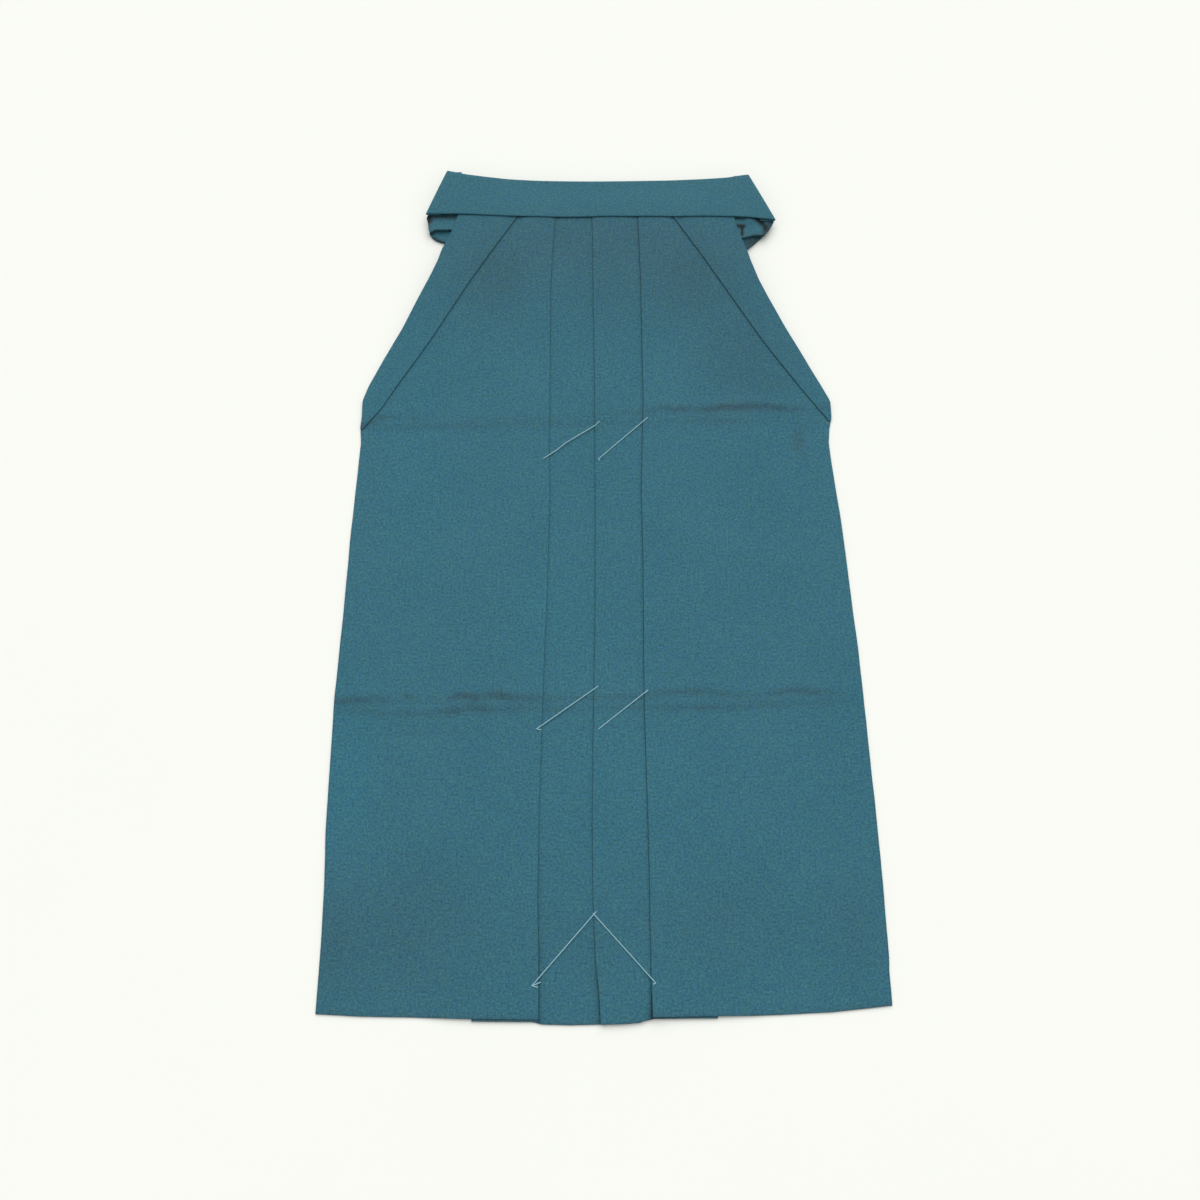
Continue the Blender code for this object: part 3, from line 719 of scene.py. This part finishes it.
def front_right_row(y):
    right, centre = pleat_edge("right", y), pleat_edge("centre", y) + TURN
    under, pleat = pleat_edge("right_under", y) - TURN, right + TURN
    lap = [station(x, y, STRIP_HEM, 1.0 + settled(1.0, centre, x))
           for x in places(centre + CENTRE_LAP, centre, RIGHT_LAP_COLUMNS)]
    strip = []
    for x in stretch(centre, *lip(centre, 1), *tucked_in(right, -1, STRIP_COLUMNS),
                     (under, HIDDEN_COLUMNS)):
        lift = gape("centre", x, y) + pinch(right, x)
        strip.append(station(x, y, STRIP_HEM, strip_level("right", x, y), lift))
    return zigzag(-1, lap, strip, return_layer("right", under, pleat, y), outer_layer("right", pleat, y))


def front_top(x, y):
    """Height of the middle of whichever front layer shows at a place, leaving out the side pleats."""
    if x < pleat_edge("left", y):
        level, lift = outer_level("left", x, y), gape("left", x, y)
    elif x < pleat_edge("centre", y):
        level, lift = 1.0, 0.0
    elif x < pleat_edge("right", y):
        level, lift = strip_level("right", x, y), gape("centre", x, y)
    else:
        level, lift = outer_level("right", x, y), gape("right", x, y)
    return middle_z(level, x, y) + lift


# Patches where the teal is painted darker, or lighter where the depth is below nought: those near the waist
# are painted shade of the cloth sloping down from the raised waist
PATCHES = listed(
    "x y half_width half_height depth",
    (0.000, 0.885, 0.200, 0.060, 0.17), (-0.125, 0.832, 0.045, 0.042, 0.11),
    (0.110, 0.825, 0.065, 0.050, 0.12), (0.000, 0.800, 0.050, 0.035, 0.05),
    (-0.150, 0.800, 0.045, 0.060, 0.03), (0.165, 0.735, 0.055, 0.060, 0.12),
    (0.207, 0.702, 0.020, 0.012, 0.06), (-0.210, 0.600, 0.045, 0.120, -0.04),
    (-0.040, 0.430, 0.060, 0.070, -0.04), (-0.270, 0.250, 0.030, 0.080, -0.08),
    (0.040, 0.250, 0.080, 0.050, -0.03), (-0.200, 0.090, 0.090, 0.080, 0.12),
    (-0.275, 0.085, 0.025, 0.060, 0.09), (-0.020, 0.080, 0.060, 0.050, 0.06),
    (0.130, 0.100, 0.080, 0.050, 0.08), (0.260, 0.100, 0.030, 0.060, 0.08),
    (-0.190, 0.296, 0.045, 0.008, 0.06), (0.227, 0.632, 0.007, 0.018, 0.20),
    (-0.208, 0.337, 0.006, 0.004, 0.20),
)
# Painted shade: the cloth is darker where it runs in under an edge, along its hem and under other layers
SLANT_DARK, SLANT_DARK_REACH = 0.37, 0.0016
TUCK_DARK_REACH = 0.0012
OWN_EDGE = 0.0003        # as far as that reaches round the edge itself
# painted shade along the hem's turned edge
HEM_DARK, HEM_DARK_REACH = 0.24, 0.0020
# painted shade of cloth lying under other layers
BURIED_DARK, BURIED_FROM = 0.65, (0.005, 0.018)      # away from the hems that show
BURIED_CLEAR = 0.25      # from this many layers down
PRESS_UNEVEN, PRESS_FINE, PRESS_DARKEST = 0.5, 60.0, 1.3
DARKEST, SHADE_AND_TONE_MOST = 0.85, 0.6


def tuck_shade(x, y):
    """Painted shade on the cloth at a place close to a folded edge on top of it."""
    tucks = []
    for name, out in (("left", 1), ("centre", -1), ("right", -1)):
        opening = GAPES[name]
        at_hem = 1.0 - smooth(0.0, opening.height, y)
        depth = opening.dark + (opening.hem_dark - opening.dark) * at_hem
        tucks.append((out * (x - pleat_edge(name, y)), depth, TUCK_DARK_REACH * (1.0 + at_hem)))
    for side, out in SIGN.items():
        if y > SLIT[side]:
            tucks.append((out * (slant_edge(side, y) - x), SLANT_DARK, SLANT_DARK_REACH))
    shades = [depth * math.exp(-max(0.0, away) / reach) for away, depth, reach in tucks if away > -OWN_EDGE]
    return max(shades, default=0.0)


def press_shade(point):
    """Painted shade under folds and other layers; tinted painted shade at the hem and creases, with tone
    patches.
    """
    x, y = point.x, point.y
    in_strip = pleat_edge("left", y) < x < pleat_edge("right", y)
    above_hem = max(0.0, y - read(STRIP_HEM if in_strip else OUTER_HEM, "y", x, "x"))
    # painted shade along the hem's turned edge
    shade_and_tone = HEM_DARK * math.exp(-above_hem / HEM_DARK_REACH)
    # patches of tone, with painted shade of the sloping cloth near the waist
    for patch in PATCHES:
        shade_and_tone += patch.depth * math.exp(-off_patch(patch, x, y))
    # painted shade on each crease's fall towards the hem
    for press in PRESSES:
        away = (off_press(press, x, y) + PRESS_FALL / 2) / PRESS_DARK_REACH
        if abs(away) < FADED:
            uneven = 1.0 + PRESS_UNEVEN * bumpy(x * PRESS_FINE, y * PRESS_FINE, 29.0)
            strength = min(PRESS_DARKEST, read(press, "height", x, "x") / PRESS_FULL) * uneven
            shade_and_tone += PRESS_DARK * strength * bell(away)
    # painted shade of cloth lying under other layers, and under folded edges
    buried = clamp((front_top(x, y) - point.z) / PITCH - BURIED_CLEAR)
    dark = tuck_shade(x, y) + BURIED_DARK * smooth(*BURIED_FROM, y) * buried
    return min(DARKEST, dark), min(SHADE_AND_TONE_MOST, shade_and_tone)


for side, row_at in (("left", front_left_row), ("right", front_right_row)):
    rows = [row_at(y) for y in front_heights()]
    pleat_column = len(rows[0]) - len(LIP) - OUTER_COLUMNS - SIDE_COLUMNS - len(TUCK)
    lay_cloth("front_" + side, rows, CLOTH, panel_finish,
              pleat_column, press_shade)


# ---- Side pleats ---------------------------------------
# Above the side openings the front panel's edge is folded back over it in a long slant, from the foot of
# the opening up to the band, with the raw edge hidden inside.

SIDE_PLEAT = {"hidden": 5, "top": 9}      # columns of its two layers
SIDE_PLEAT_ROWS = 70
HIDDEN_INSET_MOST = 0.5  # of the pleat's width, for its hidden layer


def side_pleat_rows(side):
    out = SIGN[side]
    rows = []
    for y in places(SLIT[side], PANEL_TOP, SIDE_PLEAT_ROWS, True, True):
        edge, slant = side_edge(side, y), slant_edge(side, y)
        hidden = edge - out * min(SIDE_INSET, HIDDEN_INSET_MOST * abs(edge - slant))
        turn = slant + out * TURN

        def at(x, above):
            return Vector((x, y, middle_z(outer_level(side, x, y) + settled(above, slant, x), x, y)))

        below = [at(x, 1.0) for x in places(hidden, turn, SIDE_PLEAT["hidden"])]
        above = [at(x, 2.0) for x in places(turn, edge, SIDE_PLEAT["top"], False, True)]
        rows.append(zigzag(-out, below, above))
    return rows


for side in ("left", "right"):
    fold_column = SIDE_PLEAT["hidden"] + FOLD_POINTS // 2
    lay_cloth("side_pleat_" + side, side_pleat_rows(side), CLOTH, panel_finish,
              fold_column, press_shade)


# ---- Back waistband and back ties ----------------------
# The back band is cloth turned over a stiffener and sewn along the top of the back panels. Its ties are
# long flat tubes of cloth, folded up on it with their free ends sunk towards the table beside it.

BACK_BAND = {"left": -0.160, "right": 0.150, "low": BACK_TOP + CLEAR, "top": 0.9520, "height": 0.0015}
BACK_BAND_WALL, BACK_BAND_ROUND = 0.0024, 0.0009
BACK_BAND_COLUMNS, BACK_BAND_ROWS = 62, 10
TIE_START = 0.012        # where the folded ties begin, out from the middle
TIE_ROWS = ((0.45, 18), (1.0, 8))        # close together in the lower half, part of which shows
TIE_INNER, TIE_OUTER_COLUMNS = (0.150, 12), 24       # and in the outer end of each pass
TIE_WALL = {"back": 0.0010, "front": 0.00086}
TIE_ROUND = 0.4          # of its wall
TIE_LOOSE, TIE_LOOSE_FINE = 0.00008, 40.0
TIE_PASSES = {"back": (0.0039, 0.0051), "front": (0.0065, 0.0075, 0.0085)}    # middle of each pass
TIE_DROOP = 0.0022       # how far the back ties' free ends sink beside the back band
TIE_DROOP_FROM, TIE_DROOP_TO = 0.165, 0.195
TIE_SWELL_SIDE, TIE_SWELL_PASS = "right", 2      # the uppermost pass comes up to the band here
TIE_SWELL = listed("x y half_width half_height height", (0.1785, 0.9125, 0.0065, 0.0055, 0.0022))[0]
TIE_SLIPS = ((0.0000, 0.0000), (0.0009, 0.0007), (0.0003, 0.0002))    # each pass in from its end and edge
# shares of the marks' depth that become plain and tinted painted shade
TIE_DARK, TIE_TINTED_SHADE, TIE_TINTED_SHADE_MOST = 0.85, 0.8, 0.45
BAND_WARP = (0.0320, 0.1285, 0.1860, 1.0)
BAND_WEFT = (0.0370, 0.1405, 0.1730, 1.0)
band_finish = cloth_finish("teal_band_polyester", BAND_WARP, BAND_WEFT, heather=0.8, patches=0.06)

# Edges of the folded ties, as distances out from the middle: lower and upper edge, and outer end
BACK_TIES = {
    "left": {
        "lower": listed("x y", (0.012, 0.8800), (0.1700, 0.8790), (0.1841, 0.8855), (0.1900, 0.8868),
                               (0.1962, 0.8890), (0.2007, 0.8921), (0.2036, 0.8956), (0.2046, 0.8988)),
        "upper": listed("x y", (0.012, 0.9450), (0.1780, 0.9550)),
        "end": listed("x y", (0.2046, 0.8988), (0.2030, 0.9160), (0.1780, 0.9550)),
    },
    "right": {
        "lower": listed("x y", (0.012, 0.8760), (0.1550, 0.8745), (0.1760, 0.8778), (0.1832, 0.8838),
                               (0.1886, 0.8890), (0.1935, 0.8940)),
        "upper": listed("x y", (0.012, 0.9450), (0.1720, 0.9520)),
        "end": listed("x y", (0.1935, 0.8940), (0.1980, 0.9100), (0.1720, 0.9520)),
    },
}

# Painted shade in the hollows, under the band's ends and along the turned edges at the ties' outer ends,
# each from one place to another
TIE_MARKS = listed(
    "from_x from_y to_x to_y half_width depth",
    (-0.2058, 0.9185, -0.2043, 0.9112, 0.0028, 0.80), (-0.2051, 0.9176, -0.1740, 0.9168, 0.0028, 0.40),
    (-0.2070, 0.9150, -0.2045, 0.9037, 0.0014, 0.30), (-0.2030, 0.8980, -0.2008, 0.8965, 0.0015, 0.40),
    (-0.2005, 0.8926, -0.1890, 0.8874, 0.0014, 0.45), (0.1640, 0.9053, 0.1712, 0.9047, 0.0021, 1.10),
    (0.1692, 0.9035, 0.1692, 0.8935, 0.0014, 1.30), (0.1877, 0.9150, 0.1923, 0.9105, 0.0030, 0.75),
    (0.1923, 0.9105, 0.1969, 0.9038, 0.0027, 0.70), (0.1969, 0.9038, 0.1950, 0.8935, 0.0019, 0.45),
    (0.2048, 0.9111, 0.1995, 0.9000, 0.0036, 0.40), (0.1727, 0.8826, 0.1884, 0.8893, 0.0056, 0.42),
)


def round_edges(piece, width):
    """Rounds a band's or tie's long edges, which are folds and not cuts."""
    bevel = piece.modifiers.new("turned_edges", "BEVEL")
    bevel.width = width
    bevel.segments = 3
    bevel.limit_method = "ANGLE"
    bevel.angle_limit = math.radians(50)


def back_band_rows():
    rows = []
    for y in places(BACK_BAND["low"], BACK_BAND["top"], BACK_BAND_ROWS):
        across = places(BACK_BAND["left"], BACK_BAND["right"], BACK_BAND_COLUMNS)
        rows.append([Vector((x, y, BACK_BAND["height"])) for x in across])
    return rows


def tie_rows(edges, side, passes, droop):
    """A tie folded to and fro: its first pass starts at its free end and its last one goes back inwards."""
    out = SIGN[side]
    low_end, top_end = edges["end"][0].y, edges["end"][-1].y
    rows = []
    for share in stretch(0.0, *TIE_ROWS):
        end_x = read(edges["end"], "x", low_end + (top_end - low_end) * share)
        layers = []
        for number, height in enumerate(passes):
            slip_x, slip_y = TIE_SLIPS[number]
            layer = []
            for x in stretch(TIE_START, TIE_INNER, (end_x - slip_x, TIE_OUTER_COLUMNS)):
                low = read(edges["lower"], "y", x, "x") + slip_y * (1.0 - share)
                y = low + (read(edges["upper"], "y", x, "x") - low) * share
                sunk = droop * smooth(TIE_DROOP_FROM, TIE_DROOP_TO, x)
                loose = TIE_LOOSE * bumpy(x * TIE_LOOSE_FINE, y * TIE_LOOSE_FINE, number * 3.0)
                if number == TIE_SWELL_PASS and side == TIE_SWELL_SIDE:
                    loose += TIE_SWELL.height * math.exp(-off_patch(TIE_SWELL, x, y))
                layer.append(Vector((out * x, y, height - sunk + loose)))
            if (len(passes) - number) % 2 == 1:
                layer.reverse()
            layers.append(layer)
        rows.append(zigzag(-out if len(passes) % 2 == 1 else out, *layers))
    return rows


def tie_shade(point):
    """Painted shade on a tie in its hollows, under the band's ends and along its turned ends, plain and
    tinted.
    """
    depth = sum(mark.depth * math.exp(-off_line(mark, point.x, point.y)) for mark in TIE_MARKS)
    return min(DARKEST, TIE_DARK * depth), min(TIE_TINTED_SHADE_MOST, TIE_TINTED_SHADE * depth)


def lay_ties(which, edges, droop):
    wall = TIE_WALL[which]
    for side in ("left", "right"):
        rows = tie_rows(edges[side], side, TIE_PASSES[which], droop)
        piece = lay_cloth(which + "_tie_" + side, rows, wall, band_finish,
                          shade=tie_shade)
        piece.modifiers["thickness"].use_even_offset = False
        round_edges(piece, TIE_ROUND * wall)


piece = lay_cloth("waistband_back", back_band_rows(), BACK_BAND_WALL, band_finish)
round_edges(piece, BACK_BAND_ROUND)
lay_ties("back", BACK_TIES, TIE_DROOP)


# ---- Front ties ----------------------------------------
# The long ties run on from the two ends of the front band. They are folded up in layers between the back
# ties and the front, and only their outer ends show under the ends of the band.

FRONT_TIES = {
    "left": {
        "lower": listed("x y", (0.012, 0.9030), (0.1839, 0.9002), (0.1950, 0.9003), (0.1983, 0.9000),
                               (0.2006, 0.8978), (0.2030, 0.8965)),
        "upper": listed("x y", (0.012, 0.9550), (0.1800, 0.9660)),
        "end": listed("x y", (0.2030, 0.8965), (0.2048, 0.8993), (0.2060, 0.9087), (0.2080, 0.9165),
                             (0.1800, 0.9660)),
    },
    "right": {
        "lower": listed("x y", (0.012, 0.8930), (0.1701, 0.8892), (0.1829, 0.8926), (0.1925, 0.8930),
                               (0.1950, 0.8925)),
        "upper": listed("x y", (0.012, 0.9550), (0.1740, 0.9610)),
        "end": listed("x y", (0.1950, 0.8925), (0.2000, 0.8980), (0.2041, 0.9045), (0.2076, 0.9110),
                             (0.1740, 0.9610)),
    },
}
lay_ties("front", FRONT_TIES, 0.0)


# ---- Front waistband -----------------------------------
# A strip of the cloth turned over a stiffener and sewn over the tops of the pleated fronts. It lies on
# them, slopes a little to its upper edge, and its slanted ends are folded under into the ties.

BAND_WALL, BAND_ROUND = 0.0016, 0.0008
BAND_COLUMNS, BAND_ROWS = 86, 12
BAND_SLOPE_FROM, BAND_SLOPE_TO = 0.22, 0.85    # between these shares of its width it slopes
BAND_TURN = 0.0014       # middle radius of its end folds
BAND_RETURN = 0.016      # how far the folded end runs back underneath
BAND_TURN_POINTS, BAND_RETURN_POINTS = 8, 3
BAND_CROWN = 0.0004
BAND_LOOSE, BAND_LOOSE_FINE = 0.00025, (22.0, 30.0)
BAND_SOFTEN = 0.010      # its edges bend this softly from one station to the next

# Across from one slanted end fold to the other, with the height of the band's middle
BAND = listed(
    "low_x low_y top_x top_y low_z top_z",
    (-0.2066, 0.9184, -0.1832, 0.9778, 0.0138, 0.0138), (-0.1930, 0.9186, -0.1710, 0.9739, 0.0135, 0.0136),
    (-0.1644, 0.9190, -0.1447, 0.9705, 0.0129, 0.0125), (-0.1191, 0.9168, -0.1100, 0.9670, 0.0127, 0.0112),
    (-0.0980, 0.9162, -0.0900, 0.9659, 0.0124, 0.0110), (-0.0750, 0.9157, -0.0700, 0.9651, 0.0127, 0.0108),
    (-0.0560, 0.9155, -0.0530, 0.9648, 0.0118, 0.0107), (-0.0300, 0.9158, -0.0290, 0.9646, 0.0109, 0.0107),
    (0.0000, 0.9160, 0.0000, 0.9645, 0.0123, 0.0107), (0.0120, 0.9161, 0.0120, 0.9646, 0.0130, 0.0107),
    (0.0350, 0.9160, 0.0350, 0.9649, 0.0121, 0.0107), (0.0540, 0.9159, 0.0530, 0.9652, 0.0131, 0.0107),
    (0.0850, 0.9156, 0.0830, 0.9657, 0.0124, 0.0108), (0.1250, 0.9163, 0.1206, 0.9670, 0.0127, 0.0114),
    (0.1666, 0.9153, 0.1520, 0.9684, 0.0128, 0.0126), (0.1910, 0.9133, 0.1658, 0.9707, 0.0128, 0.0129),
    (0.2074, 0.9108, 0.1770, 0.9727, 0.0128, 0.0129),
)


def band_point(low_x, share):
    """A point of the band's middle, at a place along its lower edge and a share of its width."""
    def edge(column):
        around = [read(BAND, column, low_x + step * BAND_SOFTEN, "low_x") for step in (-1, 0, 1)]
        return (around[0] + 2.0 * around[1] + around[2]) / 4

    top_x = read(BAND, "top_x", low_x, "low_x")
    slope = smooth(BAND_SLOPE_FROM, BAND_SLOPE_TO, share)
    x = low_x + (top_x - low_x) * share
    y = edge("low_y") + (edge("top_y") - edge("low_y")) * share
    z = edge("low_z") + (edge("top_z") - edge("low_z")) * slope
    loose = BAND_LOOSE * bumpy(x * BAND_LOOSE_FINE[0], y * BAND_LOOSE_FINE[1], 17.0)
    return Vector((x, y, z + BAND_CROWN * math.sin(math.pi * share) + loose))


def band_end(end, out):
    """Points from an end of the band round its fold and back underneath."""
    points = []
    for number in range(1, BAND_TURN_POINTS + 1):
        angle = math.pi * (0.5 - number / BAND_TURN_POINTS)
        away = out * BAND_TURN * math.cos(angle)
        points.append(end + Vector((away, 0.0, BAND_TURN * (math.sin(angle) - 1.0))))
    last = points[-1]
    for number in range(1, BAND_RETURN_POINTS + 1):
        points.append(last - Vector((out * BAND_RETURN * number / BAND_RETURN_POINTS, 0.0, 0.0)))
    return points


def front_band_rows():
    rows = []
    for share in places(0.0, 1.0, BAND_ROWS):
        line = [band_point(low_x, share) for low_x in places(BAND[0].low_x, BAND[-1].low_x, BAND_COLUMNS)]
        rows.append(band_end(line[0], -1)[::-1] + line + band_end(line[-1], 1))
    return rows


piece = lay_cloth("waistband_front", front_band_rows(), BAND_WALL, band_finish)
round_edges(piece, BAND_ROUND)


# ---- Sewing --------------------------------------------
# The hem is blind-stitched with teal thread, which shows as a row of small sunk stitches. Thick pale
# cotton thread bastes the pleats together until the garment is first worn, in three pairs of long floats.

STITCH_STEP = 0.0052
STITCH_LONG, STITCH_WIDE, STITCH_HIGH = 0.0014, 0.00045, 0.00022    # half sizes
STITCH_SUNK = 0.3        # of its height
STITCH_WANDER, STITCH_TURN, STITCH_UNEVEN = 0.0004, 0.5, 0.25
THREAD = 0.00064         # half the thickness of the basting thread
PLY, PLY_OFF = 0.62, 0.45    # each ply's half thickness and place, as shares of that
PLY_TURN = 0.0030        # its two plies go once round each other in this length
THREAD_STEP = 0.0005
THREAD_DIP = 0.0012      # its ends go down into the cloth

# Line of the hem stitches, above the turned-up hem
HEM_STITCHES = listed(
    "x y",
    (-0.284, 0.0350), (-0.162, 0.0333), (-0.081, 0.0319), (0.000, 0.0327), (0.040, 0.0331),
    (0.066, 0.0357), (0.162, 0.0367), (0.290, 0.0455),
)

# Each basting float, from where the thread comes up to where it goes down
FLOATS = [
    listed("x y", (-0.0647, 0.6099), (-0.0490, 0.6206), (-0.0400, 0.6285), (-0.0050, 0.6508),
                  (-0.0014, 0.6549)),
    listed("x y", (-0.0010, 0.6072), (-0.0023, 0.6090), (0.0540, 0.6594)),
    listed("x y", (-0.0636, 0.2996), (-0.0684, 0.3006), (-0.0026, 0.3470)),
    listed("x y", (-0.0021, 0.3004), (0.0514, 0.3427), (0.0484, 0.3398)),
    listed("x y", (-0.0638, 0.0371), (-0.0696, 0.0385), (-0.0045, 0.1113)),
    listed("x y", (-0.0608, 0.0420), (-0.0690, 0.0387)),
    listed("x y", (-0.0075, 0.1096), (0.0562, 0.0412), (0.0536, 0.0402)),
]
BASTING_WHITE = (0.290, 0.500, 0.562)
SEWING_TEAL = (0.025, 0.092, 0.125)
FUZZ_FINE, FUZZ_TONE, FUZZ_HIGH = 1900.0, 0.5, 0.4       # of a thread's loose fibres


def mottled_finish(name, colour, fine, strength, roughness, relief=None):
    """A finish of one slightly uneven colour, with fuzz that stands up from it where it has relief."""
    finish, tree, skin = new_finish(name)
    tone = streaks(tree, node(tree, "ShaderNodeTexCoord").outputs["Object"], fine, 3.0)
    tint = vector_calc(tree, "SCALE", colour, plus(tree, 1.0, tone, strength))
    feed(tree, skin, [("Base Color", tint), ("Roughness", roughness)])
    if relief:
        fuzz = node(tree, "ShaderNodeBump", [("Height", tone), ("Strength", relief), ("Distance", 0.0002)])
        feed(tree, skin, [("Normal", fuzz.outputs["Normal"])])
    return finish


def thread_finish(name, colour, roughness):
    return mottled_finish(name, colour, FUZZ_FINE, FUZZ_TONE, roughness, FUZZ_HIGH)


def taut(points):
    """A thread pulled straight over whatever it crosses: the upper hull of the heights beneath it."""
    along = runs([point.xy for point in points])
    hull = []
    for place in listed("run z", *((run, point.z) for run, point in zip(along, points))):
        while len(hull) > 1:
            first, last = hull[-2:]
            if (last.z - first.z) * (place.run - first.run) > (place.z - first.z) * (last.run - first.run):
                break
            hull.pop()
        hull.append(place)
    return [Vector((*point.xy, read(hull, "z", run, "run"))) for run, point in zip(along, points)]


def float_line(stops):
    """Points along a basting float on the cloth, with both ends going down into it."""
    spots = []
    for start, end in zip(stops, stops[1:]):
        steps = max(2, round(math.hypot(end.x - start.x, end.y - start.y) / THREAD_STEP))
        spots += list(zip(places(start.x, end.x, steps), places(start.y, end.y, steps)))[:-1]
    spots.append(stops[-1])
    line = taut([Vector((x, y, front_top(x, y) + CLOTH / 2 + THREAD)) for x, y in spots])
    dip = Vector((0.0, 0.0, THREAD_DIP))
    return [line[0] - dip] + line + [line[-1] - dip]


def basting_threads():
    curve = bpy.data.curves.new("basting_line", "CURVE")
    curve.dimensions = "3D"
    curve.bevel_depth = THREAD * PLY
    curve.bevel_resolution = 1
    curve.use_fill_caps = True
    for stops in FLOATS:
        line = float_line(stops)
        along = runs(line)
        for ply in (0.0, math.pi):
            spline = curve.splines.new("POLY")
            spline.points.add(len(line) - 1)
            for index, point in enumerate(line):
                ahead = (line[min(index + 1, len(line) - 1)] - line[max(index - 1, 0)]).normalized()
                sideways = ahead.cross(Vector((0.0, 0.0, 1.0))).normalized()
                upwards = sideways.cross(ahead)
                turn = ply + along[index] * 2.0 * math.pi / PLY_TURN
                off = (sideways * math.cos(turn) + upwards * math.sin(turn)) * THREAD * PLY_OFF
                spline.points[index].co = (*(point + off + SHIFT), 1.0)
    drawn = put("basting_line", curve)
    bpy.context.view_layer.update()
    mesh = bpy.data.meshes.new_from_object(drawn.evaluated_get(bpy.context.evaluated_depsgraph_get()))
    bpy.data.objects.remove(drawn, do_unlink=True)
    mesh.name = "basting_threads"
    mesh.materials.clear()
    mesh.materials.append(thread_finish("pale_basting_cotton", BASTING_WHITE, 0.85))
    return put("basting_threads", mesh)


def hem_stitches():
    maker = bmesh.new()
    size = Matrix.Diagonal((STITCH_LONG, STITCH_WIDE, STITCH_HIGH, 1.0))
    x = HEM_STITCHES[0].x + STITCH_STEP
    while x < HEM_STITCHES[-1].x - STITCH_STEP:
        y = read(HEM_STITCHES, "y", x, "x") + STITCH_WANDER * bumpy(x * 200.0, 0.0, 0.0)
        place = Vector((x, y, front_top(x, y) + CLOTH / 2 - STITCH_HIGH * STITCH_SUNK)) + SHIFT
        turn = Matrix.Rotation(STITCH_TURN * bumpy(x * 90.0, 4.0, 0.0), 4, "Z")
        bmesh.ops.create_icosphere(maker, subdivisions=2, radius=1.0,
                                   matrix=Matrix.Translation(place) @ turn @ size)
        x += STITCH_STEP * (1.0 + STITCH_UNEVEN * bumpy(x * 300.0, 8.0, 0.0))
    for face in maker.faces:
        face.smooth = True
    return built(maker, "hem_stitches", thread_finish("teal_sewing_thread", SEWING_TEAL, 0.7))


for piece in (basting_threads(), hem_stitches()):
    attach(piece, "root")


# ---- Table, light and camera ---------------------------
# A pale table under soft light from the waist's side. The camera leans fifteen degrees from upright
# towards the hem, as someone does who stands at that end and looks down on the garment.

TABLE_HALF = 4.0
AIM = Vector((-0.00045, 0.4447, 0.0))
LEAN = math.radians(15)
AWAY = 1.338
LENS, FILM = 36.36, 36.0
TABLE_WHITE = (0.924, 0.925, 0.876)
TABLE_FINE, TABLE_TONE = 2.5, 0.02       # it is a shade uneven from place to place
WINDOW_LIGHT = 2.32
WINDOW_SPREAD = math.radians(70)
WINDOW_FROM = (0.08, 0.75, 1.0)
ROOM_LIGHT, ROOM_WHITE = 0.46, (0.96, 0.99, 0.98, 1.0)

maker = bmesh.new()
bmesh.ops.create_grid(maker, x_segments=1, y_segments=1, size=TABLE_HALF)
table = built(maker, "table", mottled_finish("pale_table", TABLE_WHITE, TABLE_FINE, TABLE_TONE, 0.8))

world = bpy.data.worlds.new("soft_room")
world.use_nodes = True
room = world.node_tree.nodes["Background"]
feed(world.node_tree, room, [("Color", ROOM_WHITE), ("Strength", ROOM_LIGHT)])
bpy.context.scene.world = world

lamp = bpy.data.lights.new("window", "SUN")
lamp.energy = WINDOW_LIGHT
lamp.angle = WINDOW_SPREAD
window = put("window", lamp)
window.rotation_euler = Vector(WINDOW_FROM).to_track_quat("Z", "Y").to_euler()

camera = put("camera", bpy.data.cameras.new("camera"))
camera.data.sensor_fit = "HORIZONTAL"
camera.data.sensor_width = FILM
camera.data.lens = LENS
camera.location = AIM + SHIFT + Vector((0.0, -AWAY * math.sin(LEAN), AWAY * math.cos(LEAN)))
camera.rotation_euler = (LEAN, 0.0, 0.0)
bpy.context.scene.camera = camera
bpy.context.scene.view_settings.view_transform = "Standard"

bpy.context.view_layer.update()
